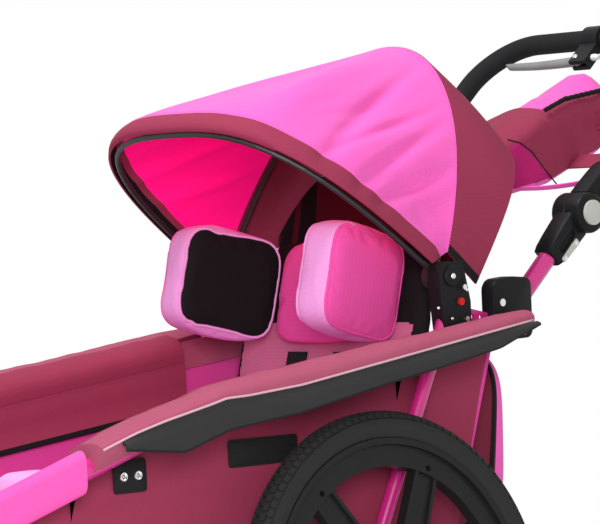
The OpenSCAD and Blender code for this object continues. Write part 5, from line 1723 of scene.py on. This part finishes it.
@dataclass
class Studio:
    """Camera, floor, light and background."""

    # Camera: angles in degrees, distance in millimetres, focal length in pixels, and one known point
    azimuth: float = 49.0
    height: float = 1.0
    roll: float = -2.5
    away: float = 4000.0
    focal: float = 3220.0
    picture: tuple = (600, 524)
    anchor: tuple = (305.0, 0.0, 246.0)
    anchor_pixel: tuple = (398.0, 603.0)
    sensor: float = 36.0
    # Lamps: name, place in metres, size and power; then what they aim at
    lamps: tuple = (("key_lamp", (-0.2, -0.9, 3.4), 0.9, 70.0), ("fill_lamp", (2.8, -2.2, 1.3), 1.2, 84.0))
    aim: tuple = (0, 0, 0.6)
    floor_half: float = 2.0
    floor_tone: tuple = (0.86, 0.86, 0.86)
    sky: tuple = (0.42, 0.42, 0.43, 1)

    def build(self) -> None:
        """Sets camera, light, floor and background."""
        a, e, q = (math.radians(v) for v in (self.azimuth, self.height, self.roll))
        back = Vector((math.sin(a) * math.cos(e), -math.cos(a) * math.cos(e), math.sin(e)))
        right = Vector((math.cos(a), math.sin(a), 0))
        up = back.cross(right)
        across = math.cos(q) * right + math.sin(q) * up
        above = math.cos(q) * up - math.sin(q) * right
        x = (self.anchor_pixel[0] - self.picture[0] / 2) / self.focal * self.away
        y = -(self.anchor_pixel[1] - self.picture[1] / 2) / self.focal * self.away
        place = Vector(self.anchor) - (across * x + above * y - back * self.away)
        data = bpy.data.cameras.new("camera")
        data.sensor_width = self.sensor
        data.lens = self.sensor * self.focal / self.picture[0]
        data.clip_end = 100.0
        camera = bpy.data.objects.new("camera", data)
        bpy.context.scene.collection.objects.link(camera)
        turn = Matrix((across, above, back)).transposed()
        camera.matrix_world = Matrix.Translation(row(place)) @ turn.to_4x4()
        bpy.context.scene.camera = camera
        self.build_light()
        self.build_floor()
        self.build_background()

    def build_light(self) -> None:
        """Sets the lamps and the view transform."""
        scene = bpy.context.scene
        scene.view_settings.view_transform = "Standard"
        for name, at, size, power in self.lamps:
            data = bpy.data.lights.new(name, "AREA")
            data.size = size
            data.energy = power
            lamp = bpy.data.objects.new(name, data)
            lamp.location = at
            lamp.rotation_mode = "QUATERNION"
            lamp.rotation_quaternion = (Vector(self.aim) - Vector(at)).to_track_quat("-Z", "Y")
            scene.collection.objects.link(lamp)

    def build_floor(self) -> None:
        """Lays the plain pale floor."""
        half = self.floor_half
        corners = [(-half, -half, 0), (half, -half, 0), (half, half, 0), (-half, half, 0)]
        mesh = bpy.data.meshes.new("floor")
        mesh.from_pydata(corners, [], [(0, 1, 2, 3)])
        floor = link("floor", mesh)
        mesh.materials.append(Finish("floor_paint", self.floor_tone, "floor", 0.8).material())

    def build_background(self) -> None:
        """Sets a white background for what the camera sees, and a softer light from it."""
        world = bpy.data.worlds.new("studio")
        bpy.context.scene.world = world
        world.use_nodes = True
        tree = world.node_tree
        shade = tree.nodes["Background"]
        path = tree.nodes.new("ShaderNodeLightPath")
        seen = path.outputs["Is Camera Ray"]
        for ray in ("Is Glossy Ray", "Is Transmission Ray"):
            either = tree.nodes.new("ShaderNodeMath")
            either.operation = "MAXIMUM"
            tree.links.new(seen, either.inputs[0])
            tree.links.new(path.outputs[ray], either.inputs[1])
            seen = either.outputs[0]
        tone = tree.nodes.new("ShaderNodeMix")
        tone.data_type = "RGBA"
        tree.links.new(seen, tone.inputs[0])
        tone.inputs[6].default_value = self.sky
        tone.inputs[7].default_value = (1, 1, 1, 1)
        tree.links.new(tone.outputs[2], shade.inputs["Color"])
        shade.inputs["Strength"].default_value = 1.0


def wheels() -> list[Wheel]:
    """Returns: the three wheels in their places."""
    made = []
    for side in Side:
        at = Matrix.Translation((305 * side.value, 0, 242.24)) @ turned(81 * side.value, "Y")
        made.append(Wheel(side.word, 245, 42, 209, at, 116))
    return made + [Wheel("front", 152, 44, 114, across_at(0, -745, 152), 76)]


def main() -> None:
    """Builds, dresses and lights the buggy."""
    logging.basicConfig(level=logging.INFO)
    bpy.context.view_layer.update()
    paint_nodes()
    for group in [Hood(), Headrest(), Tub(), Rails(), PushBar(), Brackets(), *wheels()]:
        group.build()
        group.dress()
    Studio().build()
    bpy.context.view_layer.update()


if __name__ == "__main__":
    main()
